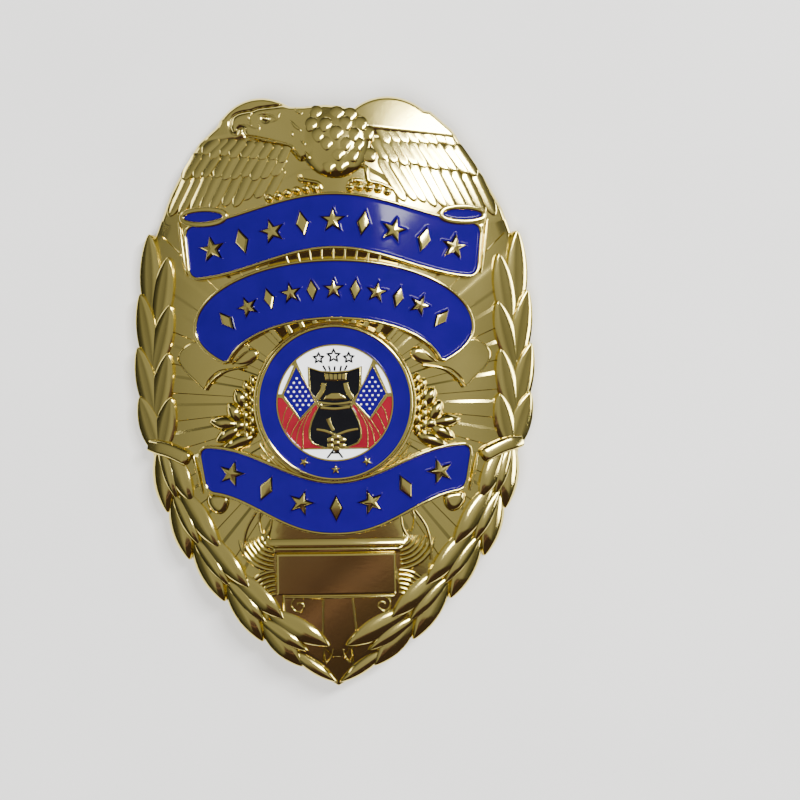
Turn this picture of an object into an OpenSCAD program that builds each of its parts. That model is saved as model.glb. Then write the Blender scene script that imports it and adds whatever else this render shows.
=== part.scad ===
// A curved shield badge: one casting with an eagle, a laurel wreath and three
// ribbons, filled with enamel, and a round seal and a brooch pin fixed to it.
// The badge lies face up: +X to its right, +Y to its top, +Z out of its face.
// The origin is on the table, at the middle of the badge's length and width.

/* [Shell] */
// Height of the bare face above the table, at the middle of the badge
crown_z = 7.4; // [7.2:0.1:7.6]
// Radius of the bend across the badge
bend_r = 66; // [65:1:68]
// Radius of the bend along the badge
length_r = 300; // [280:10:400]
// Thickness of the cast metal under the relief
wall = 1.6; // [1.5:0.1:1.8]

/* [Relief] */
// Height of every other ray of the sunburst
ray_h = 0.2; // [0.1:0.05:0.3]
// Height of a ribbon's gold rim
ribbon_h = 0.9; // [0.8:0.05:1.1]
// Width of a ribbon's gold rim
rim_w = 0.45; // [0.35:0.05:0.5]
// Height of the wreath's leaves along their ribs
leaf_h = 0.95; // [0.8:0.05:1.1]
// Height of the spread wings under their feathers
wing_h = 0.4; // [0.3:0.05:0.5]
// Height of the number plate
plate_h = 0.6; // [0.5:0.05:0.8]

/* [Enamel] */
// Depth of the floor of a ribbon's cell under its rim
cell_depth = 0.6; // [0.5:0.05:0.65]
// How far the enamel stays under the rim
enamel_low = 0.1; // [0.05:0.05:0.15]
// Gap between the enamel and the metal
fit_gap = 0.05; // [0.03:0.01:0.08]

/* [Seal] */
// Radius of the seal
seal_r = 10.95; // [10.8:0.05:11]
// Thickness of the seal
seal_t = 1.1; // [1:0.05:1.3]
// Outer radius of the seal's blue ring
ring_outer_r = 10.5; // [10.3:0.05:10.6]
// Inner radius of the seal's blue ring
ring_inner_r = 8.2; // [8.1:0.05:8.4]
// Radius of the seal's picture
picture_r = 7.95; // [7.8:0.05:8]
// Depth of the seal's cells
seal_cell_depth = 0.35; // [0.25:0.05:0.45]

/* [Pin] */
// Radius of the pin's stem
stem_r = 0.45; // [0.4:0.05:0.55]
// Height of the stem's middle above the table
stem_z = 0.75; // [0.7:0.05:0.85]
// Where the pin's hinge block stands along the badge
hinge_y = -15; // [-17:1:-14]
// Where the pin's catch block stands along the badge
catch_y = 18; // [16:1:20]
// Radius of the two soldered pads
pad_r = 2.8; // [2.4:0.1:3]

/* [Hidden] */

SIDES = [-1, 1];
GOLD = "goldenrod";
BLUE = "mediumblue";

// Half size of the grid that carries the bent surfaces, and its cells
grid_half = [30, 45];
grid_cells = [8, 6];

// The seal's centre, the floor of its seat and the ring that frames the seat
seal_y = -1.65;
seat_z = crown_z - 0.2;
seat_ring_w = 1.3;
seat_ring_l = 2.4;
seat_ring_z = crown_z + 0.2;

// Height of the pads' lower face on the shell's back
pad_z = crown_z - wall - 0.95;
// The low bosses on the shell's back that the pads are soldered to
boss_r = pad_r + 0.6;
boss_h = 1.6;

// The bent face and solids that end at it
function face_z(p) = crown_z - p.x * p.x / (2 * bend_r) - p.y * p.y / (2 * length_r);

// A solid from far below up to the bent face raised by h
module under_face(h) {
    nx = grid_cells.x;
    ny = grid_cells.y;
    row = nx + 1;
    layer = row * (ny + 1);
    plan = [for (j = [0:ny], i = [0:nx])
        [grid_half.x * (2 * i / nx - 1), grid_half.y * (2 * j / ny - 1)]];
    top = [for (p = plan) [p.x, p.y, face_z(p) + h]];
    low = [for (p = plan) [p.x, p.y, -6]];
    cells = [for (j = [0:ny - 1], i = [0:nx - 1]) i + j * row];
    sides_x = [for (i = [0:nx - 1]) i];
    sides_y = [for (j = [0:ny - 1]) j * row];
    polyhedron(
        points = concat(top, low),
        faces = concat(
            [for (c = cells) [c, c + row, c + row + 1]],
            [for (c = cells) [c, c + row + 1, c + 1]],
            [for (c = cells) [c + layer, c + layer + 1, c + layer + row + 1]],
            [for (c = cells) [c + layer, c + layer + row + 1, c + layer + row]],
            [for (c = sides_x) [c, c + 1, c + 1 + layer, c + layer]],
            [for (c = sides_x) let (d = c + ny * row) [d + 1, d, d + layer, d + 1 + layer]],
            [for (c = sides_y) [c + row, c, c + layer, c + row + layer]],
            [for (c = sides_y) let (d = c + nx) [d, d + row, d + row + layer, d + layer]]
        )
    );
}

// An outline raised to h above the bent face
module relief(h) {
    intersection() {
        under_face(h);
        translate([0, 0, -5]) linear_extrude(20) children();
    }
}

// An outline cut down to h above the bent face
module recess(h) {
    difference() {
        translate([0, 0, 1]) linear_extrude(12) children();
        under_face(h);
    }
}

// Stands its children on the bent face at p, square to it
module on_face(p) {
    translate([p.x, p.y, face_z(p)])
        rotate([-atan(p.y / length_r), atan(p.x / bend_r), 0])
            children();
}

// How deep a raised form's foot is sunk into the shell, so that none stands clear of it
sink = 1.2;

// A round stud on the bent face at p
module stud(p, low_r, top_r, h, sides) {
    on_face(p) {
        cylinder(r1 = low_r, r2 = top_r, h = h, $fn = sides);
        translate([0, 0, -sink]) cylinder(r = low_r, h = sink + 0.01, $fn = sides);
    }
}

// Leaves and feathers

// Half width of a leaf, as a share, at a share s of its length
function leaf_half(s) = pow(sin(180 * pow(s, 0.85)), 0.75);

// Where a large leaf's outline and a small one's have their corners
LARGE_LEAF = [0, 0.12, 0.42, 0.78, 1];
SMALL_LEAF = [0, 0.3, 0.8, 1];

module leaf_2d(len, wid, steps) {
    polygon(concat(
        [for (s = steps) [s * len, -wid / 2 * leaf_half(s)]],
        [for (i = [len(steps) - 2:-1:1]) [steps[i] * len, wid / 2 * leaf_half(steps[i])]]
    ));
}

// A leaf from base to tip, edge_h high at its edge and rib_h at its rib
module leaf(base, tip, wid, edge_h, rib_h, steps = SMALL_LEAF) {
    len = norm(tip - base);
    on_face((base + tip) / 2)
        rotate(atan2(tip.y - base.y, tip.x - base.x))
            translate([-len / 2, 0, -sink])
                hull() {
                    linear_extrude(sink + edge_h) leaf_2d(len, wid, steps);
                    linear_extrude(sink + rib_h)
                        polygon([[0.12 * len, 0], [0.6 * len, -wid / 12], [0.9 * len, 0]]);
                }
}

module flat_leaf(base, tip, wid, steps) {
    translate(base)
        rotate(atan2(tip.y - base.y, tip.x - base.x))
            leaf_2d(norm(tip - base), wid, steps);
}

// The wreath

// Upper leaves on one side: base x, y, outer leaf's tip x, y, inner leaf's tip x, y
UPPER_LEAVES = [
    [26.1, 11.0, 26.2, 22.8, 24.2, 19.8],
    [25.8, 3.0, 28.0, 14.6, 23.8, 12.7],
    [25.5, -4.4, 28.4, 6.8, 23.5, 6.2],
    [24.9, -8.6, 28.2, 0.4, 23.4, -0.3]
];
// Lower leaves on one side, in the same columns
LOWER_LEAVES = [
    [24.4, -7.9, 24.2, -17.5, 20.1, -15.4],
    [22.9, -13.6, 21.0, -23.6, 16.5, -21.6],
    [19.5, -19.8, 15.8, -29.8, 12.3, -27.6],
    [15.2, -25.8, 10.4, -35.8, 7.8, -32.1],
    [9.6, -31.9, 4.9, -39.4, 1.6, -36.4]
];
function leaf_base(row) = [row[0], row[1]];
function outer_tip(row) = [row[2], row[3]];
function inner_tip(row) = [row[4], row[5]];
upper_leaf_w = 2.9;
lower_leaf_w = 3.6;
leaf_edge_h = 0.35;
last_leaf = [[5.2, -36.6], [0.2, -41.75]];

// Calls its child once for each leaf, with the leaf's ends and width
module each_leaf() {
    for (side = SIDES, list = [UPPER_LEAVES, LOWER_LEAVES], row = list) {
        flip = [side, 1];
        $leaf_w = list == UPPER_LEAVES ? upper_leaf_w : lower_leaf_w;
        for (tip = [outer_tip(row), inner_tip(row)]) {
            $from = [flip.x * leaf_base(row).x, leaf_base(row).y];
            $to = [flip.x * tip.x, tip.y];
            children();
        }
    }
    for (side = SIDES) {
        $leaf_w = lower_leaf_w;
        $from = [side * last_leaf[0].x, last_leaf[0].y];
        $to = [side * last_leaf[1].x, last_leaf[1].y];
        children();
    }
}

// The band that ties each branch, from its outer to its inner end
tie_ends = [[26.6, -7.3], [22.0, -9.3]];
tie_w = 1.9;

module wreath() {
    each_leaf() leaf($from, $to, $leaf_w, leaf_edge_h, leaf_h, LARGE_LEAF);
    for (side = SIDES)
        hull() for (p = tie_ends)
            on_face([side * p.x, p.y]) {
                translate([0, 0, -sink]) cylinder(r = tie_w / 2, h = sink + leaf_h, $fn = 12);
                cylinder(r = tie_w / 4, h = leaf_h + 0.3, $fn = 12);
            }
}

// The shell's outline

// The lobe behind each wing's shoulder: centre x, y and radius
LOBES = [[-10.2, 34.9, 6.85], [8, 34, 7.8]];
// The wings' edge on the right, from the lobe down to the wreath
RIGHT_WING_EDGE = [
    [14, 39.8], [17.3, 36.9], [18.1, 35.5], [20, 32.9], [21.9, 29.9], [24.2, 25.9], [24.9, 24]
];
// The wings' edge on the left, from the wreath up to the lobe
LEFT_WING_EDGE = [
    [-24.6, 24.6], [-23.2, 28.3], [-22.2, 30.2], [-20.2, 33.6], [-19, 35.6], [-16.3, 37.9], [-15.9, 39]
];
// The plate behind the wreath on one side, from the wing down to the point
BRANCH_EDGE = [
    [27, 18], [27.6, 10], [27.6, 0], [26.4, -7], [25.7, -11], [22.3, -20], [17, -27.5], [10, -34.9],
    [3.6, -39.6]
];
badge_point = [0, -41.8];
crown_edge = [[2.9, 39.8], [1.6, 40.4], [-1, 40.6], [-4, 40.35], [-6.8, 40.4]];

module plate_2d() {
    polygon(concat(
        crown_edge,
        [[-12, 40]],
        [for (i = [len(LEFT_WING_EDGE) - 1:-1:0]) LEFT_WING_EDGE[i]],
        [for (p = BRANCH_EDGE) [-p.x, p.y]],
        [badge_point],
        [for (i = [len(BRANCH_EDGE) - 1:-1:0]) BRANCH_EDGE[i]],
        [for (i = [len(RIGHT_WING_EDGE) - 1:-1:0]) RIGHT_WING_EDGE[i]],
        [[9, 40]]
    ));
}

module shell_2d() {
    plate_2d();
    for (lobe = LOBES) translate([lobe[0], lobe[1]]) circle(r = lobe[2], $fn = 48);
    each_leaf() flat_leaf($from, $to, $leaf_w, LARGE_LEAF);
    for (side = SIDES)
        hull() for (p = tie_ends) translate([side * p.x, p.y]) circle(r = tie_w / 2, $fn = 12);
}

// The sunburst

ray_pitch = 15;
ray_reach = 34;
// How far the rays end inside the plate's edge, under the wreath
ray_margin = 1.5;

// Every other ray stands up, between the seal and the wreath
module rays_2d() {
    half = ray_pitch / 4;
    intersection() {
        translate([0, seal_y]) for (a = [0:ray_pitch:359])
            rotate(a) polygon(ray_reach * [[0, 0], [cos(half), -sin(half)], [cos(half), sin(half)]]);
        offset(delta = -ray_margin) plate_2d();
    }
}

// The ribbons

// Height of a waving edge at x: its middle, how far it swings and how fast
function wave(x, middle, swing, rate, power) = middle + swing * pow(sin(rate * abs(x)), 2 * power);

// Each row holds an edge's middle height, swing, degrees for each millimetre and power
TOP_UPPER = [27.5, -4.2, 4.05, 1];
TOP_LOWER = [20.3, -4.1, 4.4, 1];
LOW_UPPER = [-13, 5.1, 5, 1];
LOW_LOWER = [-19.8, 5.9, 4.9, 1.2];
function edge_y(x, edge) = wave(x, edge[0], edge[1], edge[2], edge[3]);

corner_r = 0.5;
ribbon_steps = 12;

// A ribbon between two waving edges that ends at x = top_x above and low_x below
module waving_ribbon_2d(upper, lower, top_x, low_x) {
    n = ribbon_steps;
    offset(r = corner_r) offset(delta = -corner_r) polygon(concat(
        [for (i = [0:n]) let (x = top_x * (2 * i / n - 1)) [x, edge_y(x, upper)]],
        [for (i = [n:-1:0]) let (x = low_x * (2 * i / n - 1)) [x, edge_y(x, lower)]]
    ));
}

module top_ribbon_2d() {
    waving_ribbon_2d(TOP_UPPER, TOP_LOWER, 20.9, 20.2, $fn = 12);
}

module lower_ribbon_2d() {
    waving_ribbon_2d(LOW_UPPER, LOW_LOWER, 19.1, 18.1, $fn = 12);
}

// An ellipse of half sizes a and b about a centre on the badge's middle line
module ellipse_2d(y, a, b) {
    translate([0, y]) scale([a, b]) circle(r = 1, $fn = 48);
}

middle_y = 8.9;
middle_half_w = 19.4;

// The middle ribbon is an oval, deeper above its widest place, less a lower oval
module middle_ribbon_2d() {
    difference() {
        union() {
            intersection() {
                ellipse_2d(middle_y, middle_half_w, 9.2);
                translate([-30, middle_y]) square([60, 20]);
            }
            intersection() {
                ellipse_2d(middle_y, middle_half_w, 7.5);
                translate([-30, middle_y - 20]) square([60, 20]);
            }
        }
        ellipse_2d(3, 15.3, 7.4);
    }
}

curl_place = [18.3, 24.8];
curl_half = [2.75, 0.72];

// The rolled end at the top of the upper ribbon, on one side
module curl_2d(side) {
    translate([side * curl_place.x, curl_place.y]) scale(curl_half) circle(r = 1, $fn = 16);
}

// Raised ornaments along the ribbons

ornament_r = 1.9;

module star_2d(r) {
    polygon([for (i = [0:9])
        let (a = 90 + 36 * i, q = i % 2 == 0 ? r : 0.42 * r) q * [cos(a), sin(a)]]);
}

module lozenge_2d(r) {
    polygon([[0, r], [0.5 * r, 0], [0, -r], [-0.5 * r, 0]]);
}

// Places count children along a ribbon: even ones are stars, odd ones lozenges
module ornament_2d(i, r) {
    if (i % 2 == 0) star_2d(r);
    else lozenge_2d(r);
}

// The row of ornaments on a waving ribbon, half_w to each side
module waving_row_2d(upper, lower, count, half_w) {
    for (i = [0:count - 1]) {
        x = half_w * (2 * i / (count - 1) - 1);
        step = 0.5;
        rise = edge_y(x + step, upper) - edge_y(x - step, upper)
            + edge_y(x + step, lower) - edge_y(x - step, lower);
        translate([x, (edge_y(x, upper) + edge_y(x, lower)) / 2])
            rotate(atan(rise / (4 * step)))
                ornament_2d(i, ornament_r);
    }
}

module top_ornaments_2d() {
    waving_row_2d(TOP_UPPER, TOP_LOWER, 9, 17);
}

module lower_ornaments_2d() {
    waving_row_2d(LOW_UPPER, LOW_LOWER, 7, 14.6);
}

// The middle ribbon's row follows an oval between its two edges
middle_row = [17.3, 8.4];
middle_row_y = 5.85;
middle_row_half_w = 15;
middle_count = 11;

module middle_ornaments_2d() {
    for (i = [0:middle_count - 1]) {
        a = acos(middle_row_half_w * (2 * i / (middle_count - 1) - 1) / middle_row.x);
        translate([middle_row.x * cos(a), middle_row_y + middle_row.y * sin(a)])
            rotate(atan2(-middle_row.y * cos(a), middle_row.x * sin(a)))
                ornament_2d(i + 1, 0.85 * ornament_r);
    }
}

floor_h = ribbon_h - cell_depth;
enamel_h = ribbon_h - enamel_low;

// A ribbon's enamel: child 0 is its outline and child 1 the ornaments in it
module ribbon_enamel() {
    difference() {
        relief(enamel_h) difference() {
            offset(delta = -fit_gap) children(0);
            if ($children > 1) offset(delta = fit_gap) children(1);
        }
        under_face(floor_h + fit_gap);
    }
}

module ribbons_2d() {
    top_ribbon_2d();
    middle_ribbon_2d();
    lower_ribbon_2d();
}

// The ribbons' cells: the outlines less the ornaments
module ribbon_cells_2d() {
    difference() {
        ribbons_2d();
        top_ornaments_2d();
        middle_ornaments_2d();
        lower_ornaments_2d();
    }
}

module curls_2d() {
    for (side = SIDES) curl_2d(side);
}

// The eagle

breast_place = [0.8, 35.4];
breast_half = [4.6, 5.3, 1.9];
breast_sink = 0.5;
// Head, neck and beak: x, y, radius and height of each round form
HEAD_FORMS = [[-9.3, 37.9, 2.3, 1.1], [-7, 37.6, 2.6, 1.1], [-3, 36.6, 3.4, 1.1]];
BEAK_FORMS = [[-11, 38.1, 1.3, 0.9], [-13.2, 38.1, 0.8, 0.8], [-13.7, 37.3, 0.4, 0.6]];

// A rounded ridge through a list of places
module ridge(forms) {
    for (i = [0:len(forms) - 2])
        hull() for (f = [forms[i], forms[i + 1]])
            on_face([f[0], f[1]]) {
                translate([0, 0, -sink]) cylinder(r = f[2], h = sink + 0.5 * f[3], $fn = 8);
                cylinder(r = 0.55 * f[2], h = f[3], $fn = 8);
            }
}

// Feathers on one wing: count, first and last root x, y, first and last tip x, y
LONG_FEATHERS = [9, [8, 32.4], [21.2, 31], [12.6, 26], [24.4, 24.6]];
SHORT_FEATHERS = [8, [6.4, 35.2], [18.8, 35], [8.4, 31.2], [21.4, 30.4]];
long_feather_w = 2;
short_feather_w = 2.3;
long_feather_h = 0.75;
coverts_h = 0.85;

function between(a, b, t) = a + t * (b - a);

// Calls its child once for each feather of a row on both wings
module each_feather(rows) {
    for (side = SIDES, i = [0:rows[0] - 1]) {
        t = i / (rows[0] - 1);
        root = between(rows[1], rows[2], t);
        tip = between(rows[3], rows[4], t);
        $from = [side * root.x, root.y];
        $to = [side * tip.x, tip.y];
        children();
    }
}

// How far the wings end inside the shell's outline, and their upper part inside the wings
wing_inset = 0.15;
coverts_inset = 0.3;
// The open place between the wings, over the eagle's feet
FEET_PLACE = [[-7, 24], [-7, 30], [-3, 31], [5, 31], [8, 29.5], [8, 24]];
// The upper part of a wing, from the middle out
COVERTS_EDGE = [[0, 42], [30, 42], [30, 32], [18.6, 33.4], [6.6, 33.8], [0, 35]];

module wings_2d() {
    difference() {
        offset(delta = -wing_inset) intersection() {
            shell_2d();
            translate([-30, 24]) square([60, 20]);
        }
        polygon(FEET_PLACE);
        for (side = SIDES) polygon([[side * 21.3, 23], [side * 30, 23], [side * 30, 26]]);
    }
}

// The wings' upper part, which ends in the row of short feathers
module coverts_2d() {
    intersection() {
        offset(delta = -coverts_inset) wings_2d();
        union() {
            for (side = SIDES)
                polygon([for (p = COVERTS_EDGE) [side * p.x, p.y]]);
            each_feather(SHORT_FEATHERS) flat_leaf($from, $to, short_feather_w, SMALL_LEAF);
        }
    }
}

toe_r = 0.8;
TOES = [[-4.6, 28.4], [-3.2, 28.7], [-1.8, 28.4], [3.4, 28.7], [5, 28.7], [6.8, 28.3]];
LEGS = [[[-3.1, 30.8, 0.9, 0.9], [-3, 28.9, 0.7, 0.8]], [[4.4, 31.4, 0.9, 0.9], [5.2, 29, 0.7, 0.8]]];
EAGLE_TAIL = [[-3.2, 33], [4.6, 33], [3, 28.2], [-1.2, 28.2]];
eagle_tail_h = 0.5;

module eagle() {
    relief(wing_h) wings_2d();
    relief(coverts_h) coverts_2d();
    each_feather(LONG_FEATHERS) leaf($from, $to, long_feather_w, wing_h + 0.05, long_feather_h);
    on_face(breast_place) translate([0, 0, -breast_sink]) scale(breast_half) sphere(r = 1, $fn = 16);
    ridge(HEAD_FORMS);
    ridge(BEAK_FORMS);
    relief(eagle_tail_h) polygon(EAGLE_TAIL);
    for (leg = LEGS) ridge(leg);
    for (p = TOES) stud(p, toe_r, toe_r / 2, toe_r, 6);
}

// Foliage and scrolls beside the seal

// Small leaves on one side: base x, y, tip x, y
SMALL_LEAVES = [
    [13, -1.4, 13.6, 2.6],
    [12.6, -3, 16, -0.6],
    [12.8, -4.8, 17.6, -4.6],
    [12.4, -5.6, 16, -7.6],
    [11.6, 0.6, 11.9, 4]
];
BERRIES = [[12.6, -1], [13.9, -3.1], [12.9, -6.8], [11.9, -3.6]];
berry_r = 0.7;
berry_h = 0.8;
small_leaf_edge_h = 0.3;
small_leaf_h = 0.65;

module foliage() {
    for (side = SIDES) {
        for (row = SMALL_LEAVES)
            leaf([side * row[0], row[1]], [side * row[2], row[3]], 2, small_leaf_edge_h, small_leaf_h);
        for (p = BERRIES) stud([side * p.x, p.y], berry_r, 0.6 * berry_r, berry_h, 6);
    }
}

tail_h = 0.35;
roll_h = 0.8;

// The tail that turns back from each tip of the middle ribbon
module tails_2d() {
    for (side = SIDES)
        polygon([
            [side * 11.5, 7.4], [side * 14.6, 4.4], [side * 17, 5.6], [side * 21.6, 5.8],
            [side * 21.9, 4.2], [side * 18.6, 0.7], [side * 17, 2.4], [side * 12.6, 3.2]
        ]);
}

// The roll under each end of the lower ribbon
module rolls_2d() {
    for (side = SIDES) translate([side * 16.6, -15.6]) scale([1.7, 1.4]) circle(r = 1, $fn = 12);
}

// The lower panel

plate_size = [16.6, 6.2];
plate_y = -25.8;
bar_size = [20, 1];
bar_y = -21.9;
volute_place = [6.1, -30.6];
// Folds beside the plate on one side: base x, y, tip x, y
FOLDS = [
    [8.6, -22.8, 13, -21],
    [8.6, -24, 12.8, -23.2],
    [8.6, -25.4, 12.2, -25.4],
    [8.6, -26.8, 11.6, -27.2],
    [8.6, -28.2, 10.6, -29],
    [10.4, -18.4, 12.2, -21.6]
];

bar_h = plate_h + 0.25;
PEDESTAL = [[-9.2, -17], [9.2, -17], [10, -21.6], [-10, -21.6]];
pedestal_h = 0.45;
LOWER_FIELD = [[-7.6, -28.6], [7.6, -28.6], [2.6, -35.4], [-3.2, -35.4]];
lower_field_h = 0.3;

module box_2d(size, y) {
    translate([0, y]) square(size, center = true);
}

module lower_panel() {
    relief(plate_h) box_2d(plate_size, plate_y);
    relief(bar_h) box_2d(bar_size, bar_y);
    relief(pedestal_h) polygon(PEDESTAL);
    relief(lower_field_h) polygon(LOWER_FIELD);
    for (side = SIDES) {
        stud([side * volute_place.x, volute_place.y], 1.5, 1.1, 0.7, 12);
        for (row = FOLDS)
            leaf([side * row[0], row[1]], [side * row[2], row[3]], 1.5, small_leaf_edge_h, plate_h);
    }
}

// The seal's cells, about the seal's centre

module seal_circle_2d() {
    circle(r = picture_r, $fn = 72);
}

module yoke_2d() {
    polygon([[-3.6, 5], [-1.8, 4.6], [1.8, 4.6], [3.6, 5], [3.35, 1], [2.2, 0.4], [-2.2, 0.4], [-3.35, 1]]);
}

module bell_2d() {
    polygon([
        [-2.1, -0.9], [2.1, -0.9], [2.7, -2], [3.1, -3.6], [3.7, -4.9],
        [3.5, -5.4], [-3.5, -5.4], [-3.7, -4.9], [-3.1, -3.6], [-2.7, -2]
    ]);
}

module canton_2d(side) {
    polygon([for (p = [[5.35, 5.1], [7.2, 1.2], [4.9, -2.2], [2.75, 0.1], [3.55, 1.9]]) [side * p.x, p.y]]);
}

module base_2d() {
    intersection() {
        seal_circle_2d();
        translate([-9, -10]) square([18, 3.6]);
    }
}

cell_wall = 0.18;

// White above the yoke, kept off the cells around it
module sky_2d() {
    difference() {
        intersection() {
            seal_circle_2d();
            polygon([[-5.4, 9], [5.4, 9], [5.4, 5.6], [3.55, 1.2], [-3.55, 1.2], [-5.4, 5.6]]);
        }
        offset(delta = cell_wall) {
            yoke_2d();
            canton_2d(-1);
            canton_2d(1);
        }
    }
}

// White between a canton and the seal's rim
module wedge_2d(side) {
    difference() {
        intersection() {
            seal_circle_2d();
            polygon([for (p = [[5.6, 5.3], [9, 5.3], [9, 1.4], [7.3, 1.4]]) [side * p.x, p.y]]);
        }
        offset(delta = cell_wall) canton_2d(side);
    }
}

STRIPES_EDGE = [[9, 1], [7.3, 1], [4.9, -2.4], [2.6, -0.2], [2.2, -1], [2.2, -6.2], [9, -6.2]];

// Red below a canton, down to the seal's base
module stripes_2d(side) {
    difference() {
        intersection() {
            seal_circle_2d();
            polygon([for (p = STRIPES_EDGE) [side * p.x, p.y]]);
        }
        offset(delta = cell_wall) {
            bell_2d();
            canton_2d(side);
        }
    }
}

seal_top = seat_z + fit_gap + seal_t;
seal_star_r = 0.75;

// Three raised stars at the bottom of the blue ring
module ring_stars_2d() {
    for (a = [-118, -90, -62])
        rotate(a) translate([(ring_inner_r + ring_outer_r) / 2, 0]) rotate(90) star_2d(seal_star_r);
}

module ring_2d() {
    difference() {
        circle(r = ring_outer_r);
        circle(r = ring_inner_r);
    }
}

// Lifts an outline on the seal to the enamel's place in its cell
module seal_fill() {
    translate([0, seal_y, seal_top - seal_cell_depth + fit_gap])
        linear_extrude(seal_cell_depth - fit_gap - enamel_low / 2)
            offset(delta = -fit_gap) children();
}

module seal_pocket(depth) {
    translate([0, seal_y, seal_top - depth]) linear_extrude(depth + 1) children();
}

// The pieces

module seat_ring() {
    translate([0, seal_y, seat_ring_z - seat_ring_l])
        cylinder(r1 = seal_r + 1.4 * seat_ring_w, r2 = seal_r + seat_ring_w, h = seat_ring_l, $fn = 48);
}

module shield() {
    color(GOLD) {
        difference() {
            union() {
                difference() {
                    union() {
                        relief(0) shell_2d();
                        relief(ray_h) rays_2d();
                        relief(tail_h) tails_2d();
                        foliage();
                        lower_panel();
                        eagle();
                        relief(ribbon_h) offset(delta = rim_w, chamfer = true) {
                            ribbons_2d();
                            curls_2d();
                        }
                        relief(roll_h) rolls_2d();
                        wreath();
                        seat_ring();
                    }
                    under_face(-wall);
                }
                for (y = [hinge_y, catch_y])
                    translate([0, y, pad_z]) cylinder(r = boss_r, h = boss_h, $fn = 32);
            }
            recess(floor_h) {
                ribbon_cells_2d();
                curls_2d();
            }
            translate([0, seal_y, seat_z]) cylinder(r = seal_r + fit_gap, h = 5, $fn = 48);
            translate([-40, -50, -10]) cube([80, 100, 10]);
        }
    }
}

module top_ribbon_enamel() {
    color(BLUE) ribbon_enamel() {
        top_ribbon_2d();
        top_ornaments_2d();
    }
}

module left_curl_enamel() {
    color(BLUE) ribbon_enamel() curl_2d(-1);
}

module right_curl_enamel() {
    color(BLUE) ribbon_enamel() curl_2d(1);
}

module middle_ribbon_enamel() {
    color(BLUE) ribbon_enamel() {
        middle_ribbon_2d();
        middle_ornaments_2d();
    }
}

module lower_ribbon_enamel() {
    color(BLUE) ribbon_enamel() {
        lower_ribbon_2d();
        lower_ornaments_2d();
    }
}

module seal_disc() {
    color(GOLD) difference() {
        translate([0, seal_y, seat_z + fit_gap]) cylinder(r = seal_r, h = seal_t, $fn = 96);
        seal_pocket(seal_cell_depth) {
            difference() {
                ring_2d($fn = 96);
                ring_stars_2d();
            }
            sky_2d();
            base_2d();
            yoke_2d();
            bell_2d();
            for (side = SIDES) {
                wedge_2d(side);
                canton_2d(side);
                stripes_2d(side);
            }
        }
    }
}

module seal_ring_enamel() {
    color(BLUE) seal_fill() difference() {
        ring_2d($fn = 96);
        ring_stars_2d();
    }
}

module seal_sky_enamel() {
    color("white") seal_fill() sky_2d();
}

module left_wedge_enamel() {
    color("white") seal_fill() wedge_2d(-1);
}

module right_wedge_enamel() {
    color("white") seal_fill() wedge_2d(1);
}

module seal_base_enamel() {
    color("white") seal_fill() base_2d();
}

module left_canton_enamel() {
    color(BLUE) seal_fill() canton_2d(-1);
}

module right_canton_enamel() {
    color(BLUE) seal_fill() canton_2d(1);
}

module left_stripes_enamel() {
    color("crimson") seal_fill() stripes_2d(-1);
}

module right_stripes_enamel() {
    color("crimson") seal_fill() stripes_2d(1);
}

module yoke_enamel() {
    color("black") seal_fill() yoke_2d();
}

module bell_enamel() {
    color("black") seal_fill() bell_2d();
}

// The brooch pin: two soldered pads, a hinge block, a catch block and a stem
pad_t = 0.8;
block_w = 2.4;
block_l = 3;
block_low = 0.3;

module pin_clasp() {
    color("silver") {
        for (y = [hinge_y, catch_y]) translate([0, y, pad_z - fit_gap - pad_t]) {
            cylinder(r = pad_r, h = pad_t, $fn = 32);
            translate([-block_w / 2, -block_l / 2, block_low - (pad_z - fit_gap - pad_t)])
                cube([block_w, block_l, pad_z - fit_gap - block_low]);
        }
        translate([0, hinge_y, stem_z]) rotate([-90, 0, 0])
            cylinder(r = stem_r, h = catch_y - hinge_y, $fn = 32);
    }
}

shield();
top_ribbon_enamel();
left_curl_enamel();
right_curl_enamel();
middle_ribbon_enamel();
lower_ribbon_enamel();
seal_disc();
seal_ring_enamel();
seal_sky_enamel();
left_wedge_enamel();
right_wedge_enamel();
seal_base_enamel();
left_canton_enamel();
right_canton_enamel();
left_stripes_enamel();
right_stripes_enamel();
yoke_enamel();
bell_enamel();
pin_clasp();
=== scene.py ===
"""Looks of a curved shield badge: struck gold relief, enamelled ribbons, a round seal and a brooch pin.

Sizes in the classes are in millimetres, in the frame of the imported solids. A mesh is turned into metres
when it is made.
"""

import logging
import math
from collections.abc import Callable, Iterable, Sequence
from dataclasses import dataclass, field, replace
from enum import Enum
from typing import Protocol

import bmesh
import bpy
import numpy as np
from mathutils import Euler, Matrix, Vector
from mathutils.geometry import delaunay_2d_cdt


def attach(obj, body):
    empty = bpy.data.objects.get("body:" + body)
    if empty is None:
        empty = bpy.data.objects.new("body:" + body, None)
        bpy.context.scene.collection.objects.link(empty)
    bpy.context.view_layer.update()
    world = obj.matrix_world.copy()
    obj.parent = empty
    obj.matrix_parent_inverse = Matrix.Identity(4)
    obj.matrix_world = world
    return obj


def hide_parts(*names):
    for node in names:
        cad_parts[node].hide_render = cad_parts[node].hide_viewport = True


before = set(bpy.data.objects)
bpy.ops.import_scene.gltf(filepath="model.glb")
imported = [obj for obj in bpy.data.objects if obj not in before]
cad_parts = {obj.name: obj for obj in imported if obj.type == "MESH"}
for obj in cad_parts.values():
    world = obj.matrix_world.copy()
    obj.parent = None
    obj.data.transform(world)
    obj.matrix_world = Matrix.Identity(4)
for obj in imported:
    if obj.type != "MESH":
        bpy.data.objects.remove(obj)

LOG = logging.getLogger("badge")
MM = 0.001
SIDES = (-1, 1)
CREASE_DEG = 38
ROW_PITCH = 0.866

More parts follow.
